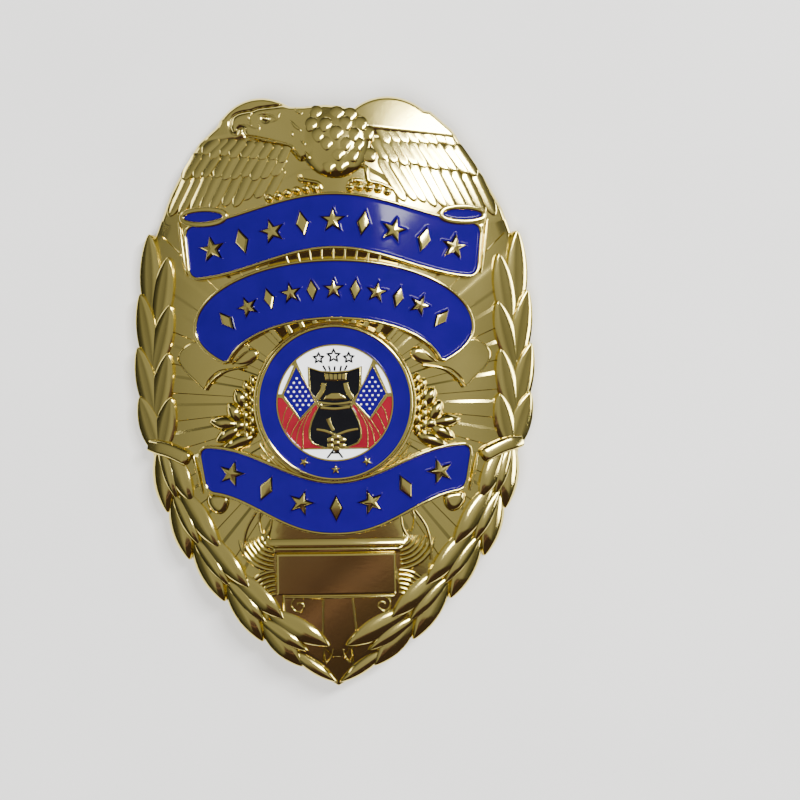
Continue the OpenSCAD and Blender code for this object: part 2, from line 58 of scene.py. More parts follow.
Point = tuple[float, float]
Corners = tuple[Point, ...]
Array = np.ndarray
Loop = np.ndarray
Height = Callable[[Array, Array, Array], Array]
Object = bpy.types.Object
Socket = bpy.types.NodeSocket


# The bent face that everything stands on


@dataclass(frozen=True)
class BentFace:
    """The bare face of the casting, bent across the badge and a little along it."""

    crown: float = 7.4
    bend_r: float = 66.0
    length_r: float = 300.0
    wall: float = 1.6

    def z(self, x: Array | float, y: Array | float) -> Array | float:
        """Height of the bare face over the table at x, y."""
        return self.crown - x * x / (2 * self.bend_r) - y * y / (2 * self.length_r)

    def frame_at(self, p: Point) -> Matrix:
        """Turn that stands a form on the face at p, square to it."""
        normal = Vector((p[0] / self.bend_r, p[1] / self.length_r, 1)).normalized()
        across = Vector((1, 0, -p[0] / self.bend_r)).normalized()
        return Matrix((across, normal.cross(across), normal)).transposed()


FACE = BentFace()


# Outlines


def closed(points: Sequence[Point], step: float) -> Loop:
    """Closed outline through points, cut into pieces no longer than step.

    Args:
        points: Corners of the outline.
        step: Longest piece.
    Returns:
        Points of the outline, without its first one repeated.
    """
    corners = np.array(points, float)
    out = []
    for a, b in zip(corners, np.roll(corners, -1, axis=0)):
        n = max(1, math.ceil(np.linalg.norm(b - a) / step))
        out.extend(a + (b - a) * i / n for i in range(n))
    return np.array(out)


def smooth_path(points: Sequence[Point], steps: int, ring: bool = False) -> Array:
    """Smooth curve through points.

    Args:
        points: Points that it passes through.
        steps: Pieces between two points.
        ring: Whether it closes on itself.
    Returns:
        Points of the curve.
    """
    p = np.array(points, float)
    n = len(p)
    at = (lambda i: p[i % n]) if ring else (lambda i: p[min(max(i, 0), n - 1)])
    out = []
    for i in range(n if ring else n - 1):
        a, b, c, d = at(i - 1), at(i), at(i + 1), at(i + 2)
        for k in range(steps):
            t = k / steps
            out.append(0.5 * (2 * b + (c - a) * t + (2 * a - 5 * b + 4 * c - d) * t**2
                              + (3 * b - a - 3 * c + d) * t**3))
    if not ring:
        out.append(p[-1])
    return np.array(out)


def sharp_points(loop: Loop) -> Array:
    """Points at which an outline turns sharply."""
    ahead, back = np.roll(loop, -1, axis=0) - loop, loop - np.roll(loop, 1, axis=0)
    turn = np.arctan2(back[:, 0] * ahead[:, 1] - back[:, 1] * ahead[:, 0], (back * ahead).sum(1))
    return loop[np.abs(turn) > 0.4]


def arc(centre: Point, r: Array | float, a: Array, squash: float = 1.0) -> Array:
    """Points at distances r and angles a about a centre, squashed along y."""
    return np.stack([centre[0] + r * np.cos(a), centre[1] + squash * r * np.sin(a)], 1)


def circle(centre: Point, r: float, n: int, squash: float = 1.0) -> Loop:
    """Circle about centre, or an oval squashed along y."""
    return arc(centre, r, np.linspace(0, 2 * math.pi, n, endpoint=False), squash)


def grown(loop: Loop, by: float) -> Loop:
    """The outline moved outwards by some millimetres, or inwards where that is negative."""
    area = 0.5 * np.sum(loop[:, 0] * np.roll(loop[:, 1], -1) - loop[:, 1] * np.roll(loop[:, 0], -1))
    along = np.roll(loop, -1, axis=0) - loop
    along /= np.linalg.norm(along, axis=1)[:, None] + 1e-12
    outward = np.stack([along[:, 1], -along[:, 0]], 1) * (1 if area > 0 else -1)
    both = outward + np.roll(outward, 1, axis=0)
    both /= np.linalg.norm(both, axis=1)[:, None] + 1e-12
    cosine = np.clip((both * outward).sum(1), 0.4, 1)
    return loop + both * (by / cosine)[:, None]


def mirrored(points: Iterable[Point], side: int) -> list[Point]:
    """Points of the right side, or their mirror image on the left."""
    return [(side * p[0], p[1]) for p in points]


def set_down(corners: Iterable[Point], at: Point, turn_deg: float, scale: float = 1.0) -> list[Point]:
    """Corners scaled, turned and moved to a place."""
    c, s = math.cos(math.radians(turn_deg)), math.sin(math.radians(turn_deg))
    return [(at[0] + scale * (x * c - y * s), at[1] + scale * (x * s + y * c)) for x, y in corners]


def depth_inside(points: Array, loops: Sequence[Loop]) -> Array:
    """How far each point is inside the region that loops bound by the even-odd rule, negative outside.

    Args:
        points: Points to measure.
        loops: Outlines of the region and its holes.
    Returns:
        Distance to the nearest outline, with its sign.
    """
    a = np.concatenate(loops)
    b = np.concatenate([np.roll(loop, -1, axis=0) for loop in loops])
    ab = b - a
    length2 = (ab**2).sum(1) + 1e-18
    out = np.empty(len(points))
    for start in range(0, len(points), 4000):
        p = points[start:start + 4000]
        ap = p[:, None] - a[None]
        t = np.clip((ap * ab).sum(2) / length2, 0, 1)
        gap = np.sqrt(((ap - t[..., None] * ab) ** 2).sum(2).min(1))
        crosses = (a[:, 1] > p[:, 1:2]) != (b[:, 1] > p[:, 1:2])
        at_x = a[:, 0] + (p[:, 1:2] - a[:, 1]) * ab[:, 0] / np.where(ab[:, 1] == 0, 1e-12, ab[:, 1])
        inside = (crosses & (p[:, 0:1] < at_x)).sum(1) % 2 == 1
        out[start:start + 4000] = np.where(inside, gap, -gap)
    return out


def round_up(depth: Array, radius: float) -> Array:
    """Share of the full height of a form whose edge is rounded, at a depth inside its outline."""
    s = np.clip(depth / radius, 0, 1)
    return np.sqrt(1 - (1 - s) ** 2)


def ramp(value: Array, low: float, high: float) -> Array:
    """Smooth step from 0 at low to 1 at high."""
    t = np.clip((value - low) / (high - low), 0, 1)
    return t * t * (3 - 2 * t)


def over_face(rise: Callable[[Array], Array] | float) -> Height:
    """Height function of a form whose rise over the bent face is even, or goes by the depth inside it."""
    return lambda x, y, d: FACE.z(x, y) + (rise(d) if callable(rise) else rise)


def blend_max(a: Array, b: Array, k: float) -> Array:
    """The higher of two heights, with the joint between them rounded over k."""
    h = np.clip(k - np.abs(a - b), 0, None) / k
    return np.maximum(a, b) + h * h * k / 4


# Meshes


def linked(name: str, data: bpy.types.ID) -> Object:
    """New object of a mesh, lamp or camera, linked to the scene."""
    obj = bpy.data.objects.new(name, data)
    bpy.context.scene.collection.objects.link(obj)
    return obj


def finish_shading(mesh: bpy.types.Mesh, crease_deg: float = CREASE_DEG) -> None:
    """Smooth shading, with sharp edges above an angle."""
    mesh.shade_smooth()
    mesh.set_sharp_from_angle(angle=math.radians(crease_deg))


def mesh_object(name: str, points: Sequence[Sequence[float]], faces: Sequence[Sequence[int]],
                crease_deg: float = CREASE_DEG, unit: float = MM) -> Object:
    """Object of a closed mesh.

    Args:
        name: Its name.
        points: Corners.
        faces: Corner numbers of each face.
        crease_deg: Angle above which an edge is sharp.
        unit: Length of the corners' unit in metres.
    Returns:
        The object, linked to the scene.
    """
    mesh = bpy.data.meshes.new(name)
    mesh.from_pydata((np.array(points, float) * unit).tolist(), [], faces)
    bm = bmesh.new()
    bm.from_mesh(mesh)
    bmesh.ops.recalc_face_normals(bm, faces=bm.faces)
    bm.to_mesh(mesh)
    bm.free()
    finish_shading(mesh, crease_deg)
    return linked(name, mesh)


def joined(name: str, parts: Sequence[Object]) -> Object:
    """One object of several, which are removed."""
    bm = bmesh.new()
    for part in parts:
        bm.from_mesh(part.data)
        bpy.data.objects.remove(part)
    mesh = bpy.data.meshes.new(name)
    bm.to_mesh(mesh)
    bm.free()
    finish_shading(mesh)
    return linked(name, mesh)


def edge_rings(loops: Sequence[Loop], insets: Sequence[float]) -> Array:
    """Points in rings along the outlines and round their sharp corners.

    Args:
        loops: Outlines of a region and its holes.
        insets: Depth of each ring.
    Returns:
        The points that lie inside at the depth meant.
    """
    rings = [(i, r) for i in insets for loop in loops for r in (grown(loop, -i), grown(loop, i))]
    rings += [(i, circle(tuple(p), i, 16)) for i in insets for loop in loops for p in sharp_points(loop)]
    if not rings:
        return np.zeros((0, 2))
    points = np.concatenate([r for _, r in rings])
    meant = np.repeat([i for i, _ in rings], [len(r) for _, r in rings])
    return points[np.abs(depth_inside(points, loops) - meant) < 0.12 * meant + 0.004]


def grid_inside(loops: Sequence[Loop], step: float, margin: float) -> Array:
    """Points of a triangular grid that lie inside the outlines by more than a margin."""
    rim = np.concatenate(loops)
    lo, hi = rim.min(0), rim.max(0)
    gx, gy = np.meshgrid(np.arange(lo[0], hi[0], step), np.arange(lo[1], hi[1], step * ROW_PITCH))
    gx[1::2] += step / 2
    grid = np.stack([gx.ravel(), gy.ravel()], 1)
    return grid[depth_inside(grid, loops) > margin]


def triangulated(points: Array, edges: Sequence[tuple[int, int]], loops: Sequence[Loop],
                 gap: float) -> tuple[Array, Array, list[list[int]]]:
    """Triangles between points, less those outside the outlines.

    Args:
        points: Points in plan.
        edges: Pairs of points that a side has to join.
        loops: Outlines of the region and its holes.
        gap: Distance within which two points are one.
    Returns:
        The points, the corners of each triangle, and the numbers that each point had before.
    """
    found = delaunay_2d_cdt([tuple(p) for p in points], edges, [], 0, gap, True)
    flat = np.array([tuple(p) for p in found[0]], float)
    tri = np.array([f for f in found[2] if len(f) == 3], int)
    return flat, tri[depth_inside(flat[tri].mean(1), loops) > 0], found[3]


def open_sides(tri: Array) -> list[tuple[int, int]]:
    """Sides that only one triangle has, each in its triangle's direction."""
    sides = {}
    for a, b, c in tri.tolist():
        for side in ((a, b), (b, c), (c, a)):
            if side[::-1] in sides:
                del sides[side[::-1]]
            else:
                sides[side] = True
    return list(sides)


def plate_object(name: str, loops: Sequence[Loop], step: float, top: Height, low: Height,
                 insets: Sequence[float]) -> Object:
    """Closed plate with a shaped top over a region with holes.

    Args:
        name: Its name.
        loops: Outlines of the region and its holes.
        step: Spacing of the points inside.
        top: Height of the top at x, y and the depth inside the outline.
        low: Height of the underside, in the same way.
        insets: Depths of the rings of points along the edge.
    Returns:
        The object.
    """
    edges, start = [], 0
    for loop in loops:
        n = len(loop)
        edges += [(start + i, start + (i + 1) % n) for i in range(n)]
        start += n
    grid = grid_inside(loops, step, (insets[-1] if insets else 0) + 0.45 * step)
    flat, tri, _ = triangulated(np.concatenate([*loops, edge_rings(loops, insets), grid]), edges, loops, 1e-7)
    depth = np.clip(depth_inside(flat, loops), 0, None)
    sides = open_sides(tri)
    border = sorted({v for side in sides for v in side})
    depth[border] = 0
    number = {v: i for i, v in enumerate(border)}
    rim, n = flat[border], len(flat)
    upper = np.column_stack([flat, top(flat[:, 0], flat[:, 1], depth)])
    lower = np.column_stack([rim, low(rim[:, 0], rim[:, 1], np.zeros(len(rim)))])
    _, back, ids = triangulated(rim, [(number[a], number[b]) for a, b in sides], loops, 1e-9)
    faces = tri.tolist()
    faces += [[n + ids[v][0] for v in reversed(t)] for t in back.tolist()]
    faces += [(b, a, n + number[a], n + number[b]) for a, b in sides]
    return mesh_object(name, np.concatenate([upper, lower]), faces)


def lathe_object(name: str, profile: Sequence[Point], centre: Point, n: int = 144) -> Object:
    """Ring or disc turned about an upright axis.

    Args:
        name: Its name.
        profile: Closed profile, as radius and height; a radius of 0 makes a pole.
        centre: Where the axis stands.
        n: Pieces around.
    Returns:
        The object.
    """
    points, rows = [], []
    for r, z in profile:
        if r == 0:
            rows.append([len(points)] * n)
            points.append((*centre, z))
            continue
        rows.append(list(range(len(points), len(points) + n)))
        points += [(*p, z) for p in circle(centre, r, n)]
    faces = []
    for a, b in zip(rows, rows[1:] + ([rows[0]] if profile[0][0] else [])):
        for i in range(n):
            j = (i + 1) % n
            face = list(dict.fromkeys((a[i], a[j], b[j], b[i])))
            if len(face) > 2:
                faces.append(face)
    return mesh_object(name, points, faces)


def band_faces(rings: int, n: int) -> list[tuple[int, int, int, int]]:
    """Faces between rings of n points that follow one another."""
    return [(k * n + i, k * n + (i + 1) % n, (k + 1) * n + (i + 1) % n, (k + 1) * n + i)
            for k in range(rings - 1) for i in range(n)]


def rod_object(name: str, rings: Sequence[Sequence[tuple[float, float, float]]]) -> Object:
    """Rod through rings of points, closed at both ends."""
    n, count = len(rings[0]), len(rings)
    faces = [*band_faces(count, n), tuple(range(n)), tuple(range((count - 1) * n, count * n))]
    return mesh_object(name, [p for ring in rings for p in ring], faces)


# Finishes


class Slot(Enum):
    """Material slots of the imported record."""

    GOLD = "gold_plate"
    BLUE = "blue_enamel"
    WHITE = "white_enamel"
    RED = "red_enamel"
    BLACK = "black_enamel"
    STEEL = "pin_steel"


def tree_input(tree: bpy.types.NodeTree, name: str, kind: str, value: float | None = None) -> None:
    """Adds a named input to a node tree, with a starting value."""
    socket = tree.interface.new_socket(name=name, in_out="INPUT", socket_type=kind)
    if value is not None:
        socket.default_value = value


def surface_group() -> bpy.types.NodeTree:
    """Node group that gives a slow and a fine variation over a surface, from its own coordinates.

    Returns:
        The group, with outputs Patches and Grain.
    """
    group = bpy.data.node_groups.new("surface variation", "ShaderNodeTree")
    for name, value in (("Patch Scale", 60), ("Grain Scale", 900)):
        tree_input(group, name, "NodeSocketFloat", value)
    for name in ("Patches", "Grain"):
        group.interface.new_socket(name=name, in_out="OUTPUT", socket_type="NodeSocketFloat")
    given = group.nodes.new("NodeGroupInput")
    out = group.nodes.new("NodeGroupOutput")
    where = group.nodes.new("ShaderNodeTexCoord")
    for source, target, detail in (("Patch Scale", "Patches", 2), ("Grain Scale", "Grain", 4)):
        noise = group.nodes.new("ShaderNodeTexNoise")
        noise.inputs["Detail"].default_value = detail
        group.links.new(where.outputs["Object"], noise.inputs["Vector"])
        group.links.new(given.outputs[source], noise.inputs["Scale"])
        group.links.new(noise.outputs["Fac"], out.inputs[target])
    return group


SURFACE = surface_group()


@dataclass(frozen=True)
class Finish:
    """A finish whose colour, gloss and relief vary a little over it."""

    name: str
    color: tuple[float, float, float]
    deep_color: tuple[float, float, float]
    roughness: tuple[float, float]
    patch_scale: float
    grain_scale: float
    metallic: float = 0.0
    bump_mm: float = 0.0
    coat: float = 0.0
    coat_roughness: float = 0.03
    ior: float = 1.5
    color_spread: tuple[float, float] = (0.3, 0.6)
    gloss_spread: tuple[float, float] = (0.3, 0.7)

    def material(self) -> bpy.types.Material:
        """Builds the material."""
        made = bpy.data.materials.new(self.name)
        made.use_nodes = True
        nodes, links = made.node_tree.nodes, made.node_tree.links
        shader = nodes["Principled BSDF"]
        group = nodes.new("ShaderNodeGroup")
        group.node_tree = SURFACE
        tint = nodes.new("ShaderNodeMix")
        tint.data_type = "RGBA"
        spread = nodes.new("ShaderNodeMapRange")
        gloss = nodes.new("ShaderNodeMapRange")
        bump = nodes.new("ShaderNodeBump")
        for node, name, value in (
                (shader, "Metallic", self.metallic), (shader, "IOR", self.ior),
                (shader, "Coat Weight", self.coat), (shader, "Coat Roughness", self.coat_roughness),
                (group, "Patch Scale", self.patch_scale), (group, "Grain Scale", self.grain_scale),
                (tint, "A", (*self.deep_color, 1)), (tint, "B", (*self.color, 1)),
                (spread, "From Min", self.color_spread[0]), (spread, "From Max", self.color_spread[1]),
                (gloss, "From Min", self.gloss_spread[0]), (gloss, "From Max", self.gloss_spread[1]),
                (gloss, "To Min", self.roughness[0]), (gloss, "To Max", self.roughness[1]),
                (bump, "Strength", 1), (bump, "Distance", self.bump_mm * MM)):
            node.inputs[name].default_value = value
        for source, output, target, socket in (
                (group, "Patches", spread, "Value"), (spread, "Result", tint, "Factor"),
                (tint, "Result", shader, "Base Color"), (group, "Patches", gloss, "Value"),
                (gloss, "Result", shader, "Roughness"), (group, "Grain", bump, "Height"),
                (bump, "Normal", shader, "Normal")):
            links.new(source.outputs[output], target.inputs[socket])
        return made


FINISHES = {
    Slot.GOLD: Finish("gold plating", (0.83, 0.69, 0.21), (0.79, 0.65, 0.185), (0.09, 0.14), 90, 1400,
                      metallic=1, bump_mm=0.003),
    Slot.BLUE: Finish("blue enamel", (0.0088, 0, 0.108), (0.0075, 0, 0.095), (0.09, 0.1), 240, 500,
                      coat=0.03, ior=1.2),
    Slot.WHITE: Finish("white enamel", (0.95, 0.95, 0.94), (0.9, 0.9, 0.89), (0.12, 0.14), 240, 600,
                       coat=0.6),
    Slot.RED: Finish("red enamel", (0.2, 0.003, 0.012), (0.15, 0.002, 0.009), (0.12, 0.14), 240, 600,
                     coat=0.3, ior=1.4),
    Slot.BLACK: Finish("black enamel", (0.003, 0.003, 0.004), (0.002, 0.002, 0.003), (0.12, 0.14), 240, 600,
                       coat=0.1, ior=1.3),
    Slot.STEEL: Finish("pin steel", (0.62, 0.57, 0.46), (0.52, 0.48, 0.4), (0.24, 0.34), 160, 1800,
                       metallic=1, bump_mm=0.006),
}
FLOOR = Finish("pale floor", (0.80, 0.79, 0.77), (0.77, 0.76, 0.74), (0.6, 0.7), 30, 400, bump_mm=0.02)


# Node trees that place and draw what repeats


class NodesTree:
    """Common ground of the geometry trees: the frame of nodes and how a tree is run on an object."""

    def __init__(self, name: str) -> None:
        """Makes an empty tree that takes and gives a geometry."""
        self.tree = bpy.data.node_groups.new(name, "GeometryNodeTree")
        self.tree.interface.new_socket(name="Geometry", in_out="INPUT", socket_type="NodeSocketGeometry")
        self.tree.interface.new_socket(name="Geometry", in_out="OUTPUT", socket_type="NodeSocketGeometry")

    def node(self, kind: str, **settings: object) -> bpy.types.Node:
        """Adds a node with its settings."""
        made = self.tree.nodes.new(kind)
        for key, value in settings.items():
            setattr(made, key, value)
        return made

    def link(self, a: Socket, b: Socket) -> None:
        """Joins two sockets."""
        self.tree.links.new(a, b)

    def attribute(self, name: str, kind: str) -> Socket:
        """Output of a node that reads a named attribute."""
        made = self.node("GeometryNodeInputNamedAttribute", data_type=kind)
        made.inputs["Name"].default_value = name
        return made.outputs["Attribute"]

    def close(self, geometry: Socket, material: Socket) -> None:
        """Ends the tree in Realize Instances and Set Material."""
        real = self.node("GeometryNodeRealizeInstances")
        dress = self.node("GeometryNodeSetMaterial")
        out = self.node("NodeGroupOutput")
        self.link(geometry, real.inputs["Geometry"])
        self.link(real.outputs["Geometry"], dress.inputs["Geometry"])
        self.link(material, dress.inputs["Material"])
        self.link(dress.outputs["Geometry"], out.inputs["Geometry"])

    def run(self, obj: Object, values: dict[str, object],
            crease_deg: float = CREASE_DEG) -> Object:
        """Runs the tree on an object and leaves the result as its plain mesh.

        Args:
            obj: Object with the points or paths.
            values: Value of each named input.
            crease_deg: Angle above which an edge is sharp.
        Returns:
            The same object.
        """
        modifier = obj.modifiers.new(self.tree.name, "NODES")
        modifier.node_group = self.tree
        for item in self.tree.interface.items_tree:
            if item.in_out == "INPUT" and item.name in values:
                modifier[item.identifier] = values[item.name]
        graph = bpy.context.evaluated_depsgraph_get()
        mesh = bpy.data.meshes.new_from_object(obj.evaluated_get(graph), depsgraph=graph)
        obj.modifiers.remove(modifier)
        obj.data = mesh
        mesh.name = obj.name
        finish_shading(mesh, crease_deg)
        return obj


class ScatterTree(NodesTree):
    """Stands a copy of one form on each point, turned and sized by the point's own values."""

    def __init__(self) -> None:
        """Builds the tree."""
        super().__init__("stand forms on points")
        tree_input(self.tree, "Form", "NodeSocketObject")
        tree_input(self.tree, "Size", "NodeSocketFloat", 1)
        tree_input(self.tree, "Material", "NodeSocketMaterial")
        given = self.node("NodeGroupInput")
        form = self.node("GeometryNodeObjectInfo", transform_space="ORIGINAL")
        turn = self.node("FunctionNodeEulerToRotation")
        size = self.node("ShaderNodeVectorMath", operation="SCALE")
        stand = self.node("GeometryNodeInstanceOnPoints")
        self.link(given.outputs["Form"], form.inputs["Object"])
        self.link(self.attribute("turn", "FLOAT_VECTOR"), turn.inputs["Euler"])
        self.link(self.attribute("size", "FLOAT_VECTOR"), size.inputs[0])
        self.link(given.outputs["Size"], size.inputs["Scale"])
        self.link(given.outputs["Geometry"], stand.inputs["Points"])
        self.link(form.outputs["Geometry"], stand.inputs["Instance"])
        self.link(turn.outputs["Rotation"], stand.inputs["Rotation"])
        self.link(size.outputs["Vector"], stand.inputs["Scale"])
        self.close(stand.outputs["Instances"], given.outputs["Material"])


class SweepTree(NodesTree):
    """Draws a rounded bar along each path, thicker or thinner by the path's own values."""

    def __init__(self) -> None:
        """Builds the tree."""
        super().__init__("draw bars along paths")
        for name, value in (("Width", 0.0005), ("Height", 0.001), ("Rounding", 0.0002)):
            tree_input(self.tree, name, "NodeSocketFloat", value)
        tree_input(self.tree, "Material", "NodeSocketMaterial")
        given = self.node("NodeGroupInput")
        path = self.node("GeometryNodeMeshToCurve")
        up = self.node("GeometryNodeSetCurveNormal", mode="Z_UP")
        section = self.node("GeometryNodeCurvePrimitiveQuadrilateral")
        rounded = self.node("GeometryNodeFilletCurve", mode="POLY")
        rounded.inputs["Count"].default_value = 3
        rounded.inputs["Limit Radius"].default_value = True
        bar = self.node("GeometryNodeCurveToMesh")
        bar.inputs["Fill Caps"].default_value = True
        self.link(given.outputs["Geometry"], path.inputs["Mesh"])
        self.link(path.outputs["Curve"], up.inputs["Curve"])
        self.link(given.outputs["Width"], section.inputs["Width"])
        self.link(given.outputs["Height"], section.inputs["Height"])
        self.link(section.outputs["Curve"], rounded.inputs["Curve"])
        self.link(given.outputs["Rounding"], rounded.inputs["Radius"])
        self.link(up.outputs["Curve"], bar.inputs["Curve"])
        self.link(rounded.outputs["Curve"], bar.inputs["Profile Curve"])
        self.link(self.attribute("swell", "FLOAT"), bar.inputs["Scale"])
        self.close(bar.outputs["Mesh"], given.outputs["Material"])


@dataclass(frozen=True)
class Stand:
    """Where one copy of a form stands, how it is turned on the face, and its length and width."""

    at: Point
    heading_deg: float
    size: tuple[float, float]
    lift: float = 0.0
    pitch_deg: float = 0.0
    lean_deg: float = 0.0

    def place_and_turn(self) -> tuple[list[float], list[float]]:
        """Its place in metres and its turn, as Euler angles."""
        base = FACE.frame_at(self.at)
        local = Euler((math.radians(self.lean_deg), -math.radians(self.pitch_deg), 0)).to_matrix()
        turned = base @ Matrix.Rotation(math.radians(self.heading_deg), 3, "Z") @ local
        up = base @ Vector((0, 0, self.lift))
        at = [(self.at[0] + up.x) * MM, (self.at[1] + up.y) * MM, (FACE.z(*self.at) + up.z) * MM]
        return at, list(turned.to_euler())


@dataclass
class Path:
    """A path in plan, with its swell along the way, on the bent face or at a height of its own."""

    points: Array
    ring: bool = False
    swell: Sequence[float] = (1, 1)
    flat_z: float | None = None


class Form(Protocol):
    """A small form that the scatter tree copies."""

    def build(self) -> Object:
        """Builds the form, standing on its own z = 0."""


def dress(piece: Object, material: bpy.types.Material) -> Object:
    """Gives a piece one finish."""
    piece.data.materials.clear()
    piece.data.materials.append(material)
    return piece


def place(piece: Object, slot: str, *nodes: str) -> Object:
    """Rides a piece on the badge and hides the solids that it stands for."""
    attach(piece, "root")
    if nodes:
        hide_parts(*nodes)
    LOG.info("%s: %d faces", piece.name, len(piece.data.polygons))
    return piece


class Workshop:
    """Makes pieces with the shared trees, dresses them and puts them on the badge."""

    def __init__(self) -> None:
        """Builds the finishes and the shared trees."""
        self.paints = {slot: finish.material() for slot, finish in FINISHES.items()}
        self.scatter_tree = ScatterTree()
        self.sweep_tree = SweepTree()

    def put(self, piece: Object, *nodes: str, slot: Slot = Slot.GOLD) -> None:
        """Dresses a piece for its slot and places it, with the solids that it stands for."""
        place(dress(piece, self.paints[slot]), slot.value, *nodes)

    def put_all(self, name: str, parts: Sequence[Object], *nodes: str, slot: Slot = Slot.GOLD) -> None:
        """Joins parts into one piece and puts it on the badge."""
        self.put(joined(name, parts), *nodes, slot=slot)

    def scatter(self, name: str, form: Form, stands: Sequence[Stand], crease_deg: float = CREASE_DEG,
                slot: Slot = Slot.GOLD) -> None:
        """Puts on a piece of many copies of one form, standing on the bent face.

        Args:
            name: Its name.
            form: The form.
            stands: Where the copies stand.
            crease_deg: Angle above which an edge is sharp.
            slot: Its finish.
        """
        places, turns = zip(*[s.place_and_turn() for s in stands])
        sizes = [(s.size[0] * MM, s.size[1] * MM, MM) for s in stands]
        mesh = bpy.data.meshes.new(name)
        mesh.from_pydata(places, [], [])
        for key, rows in (("turn", turns), ("size", sizes)):
            mesh.attributes.new(key, "FLOAT_VECTOR", "POINT").data.foreach_set("vector", np.ravel(rows))
        model = form.build()
        values = {"Form": model, "Size": 1.0, "Material": self.paints[slot]}
        place(self.scatter_tree.run(linked(name, mesh), values, crease_deg), slot.value)
        bpy.data.objects.remove(model)

    def sweep(self, name: str, paths: Sequence[Path], width: float, low: float, high: float,
              rounding: float = 0.2, slot: Slot = Slot.GOLD) -> None:
        """Puts on a piece of rounded bars along paths.

        Args:
            name: Its name.
            paths: The paths.
            width: Width of a bar.
            low: Height of its foot over the face.
            high: Height of its top over the face.
            rounding: Radius of its edges.
            slot: Its finish.
        """
        places, edges, swells = [], [], []
        for path in paths:
            n, start = len(path.points), len(places)
            x, y = path.points[:, 0], path.points[:, 1]
            ground = FACE.z(x, y) if path.flat_z is None else np.full(n, path.flat_z)
            places += np.column_stack([x, y, ground + (low + high) / 2]).tolist()
            edges += [(start + i, start + i + 1) for i in range(n - 1)]
            if path.ring:
                edges.append((start + n - 1, start))
            swells += np.interp(np.linspace(0, 1, n), np.linspace(0, 1, len(path.swell)), path.swell).tolist()
        mesh = bpy.data.meshes.new(name)
        mesh.from_pydata((np.array(places) * MM).tolist(), edges, [])
        mesh.attributes.new("swell", "FLOAT", "POINT").data.foreach_set("value", swells)
        values = {"Width": width * MM, "Height": (high - low) * MM, "Rounding": rounding * MM,
                  "Material": self.paints[slot]}
        place(self.sweep_tree.run(linked(name, mesh), values), slot.value)


# The struck shell and its sunburst


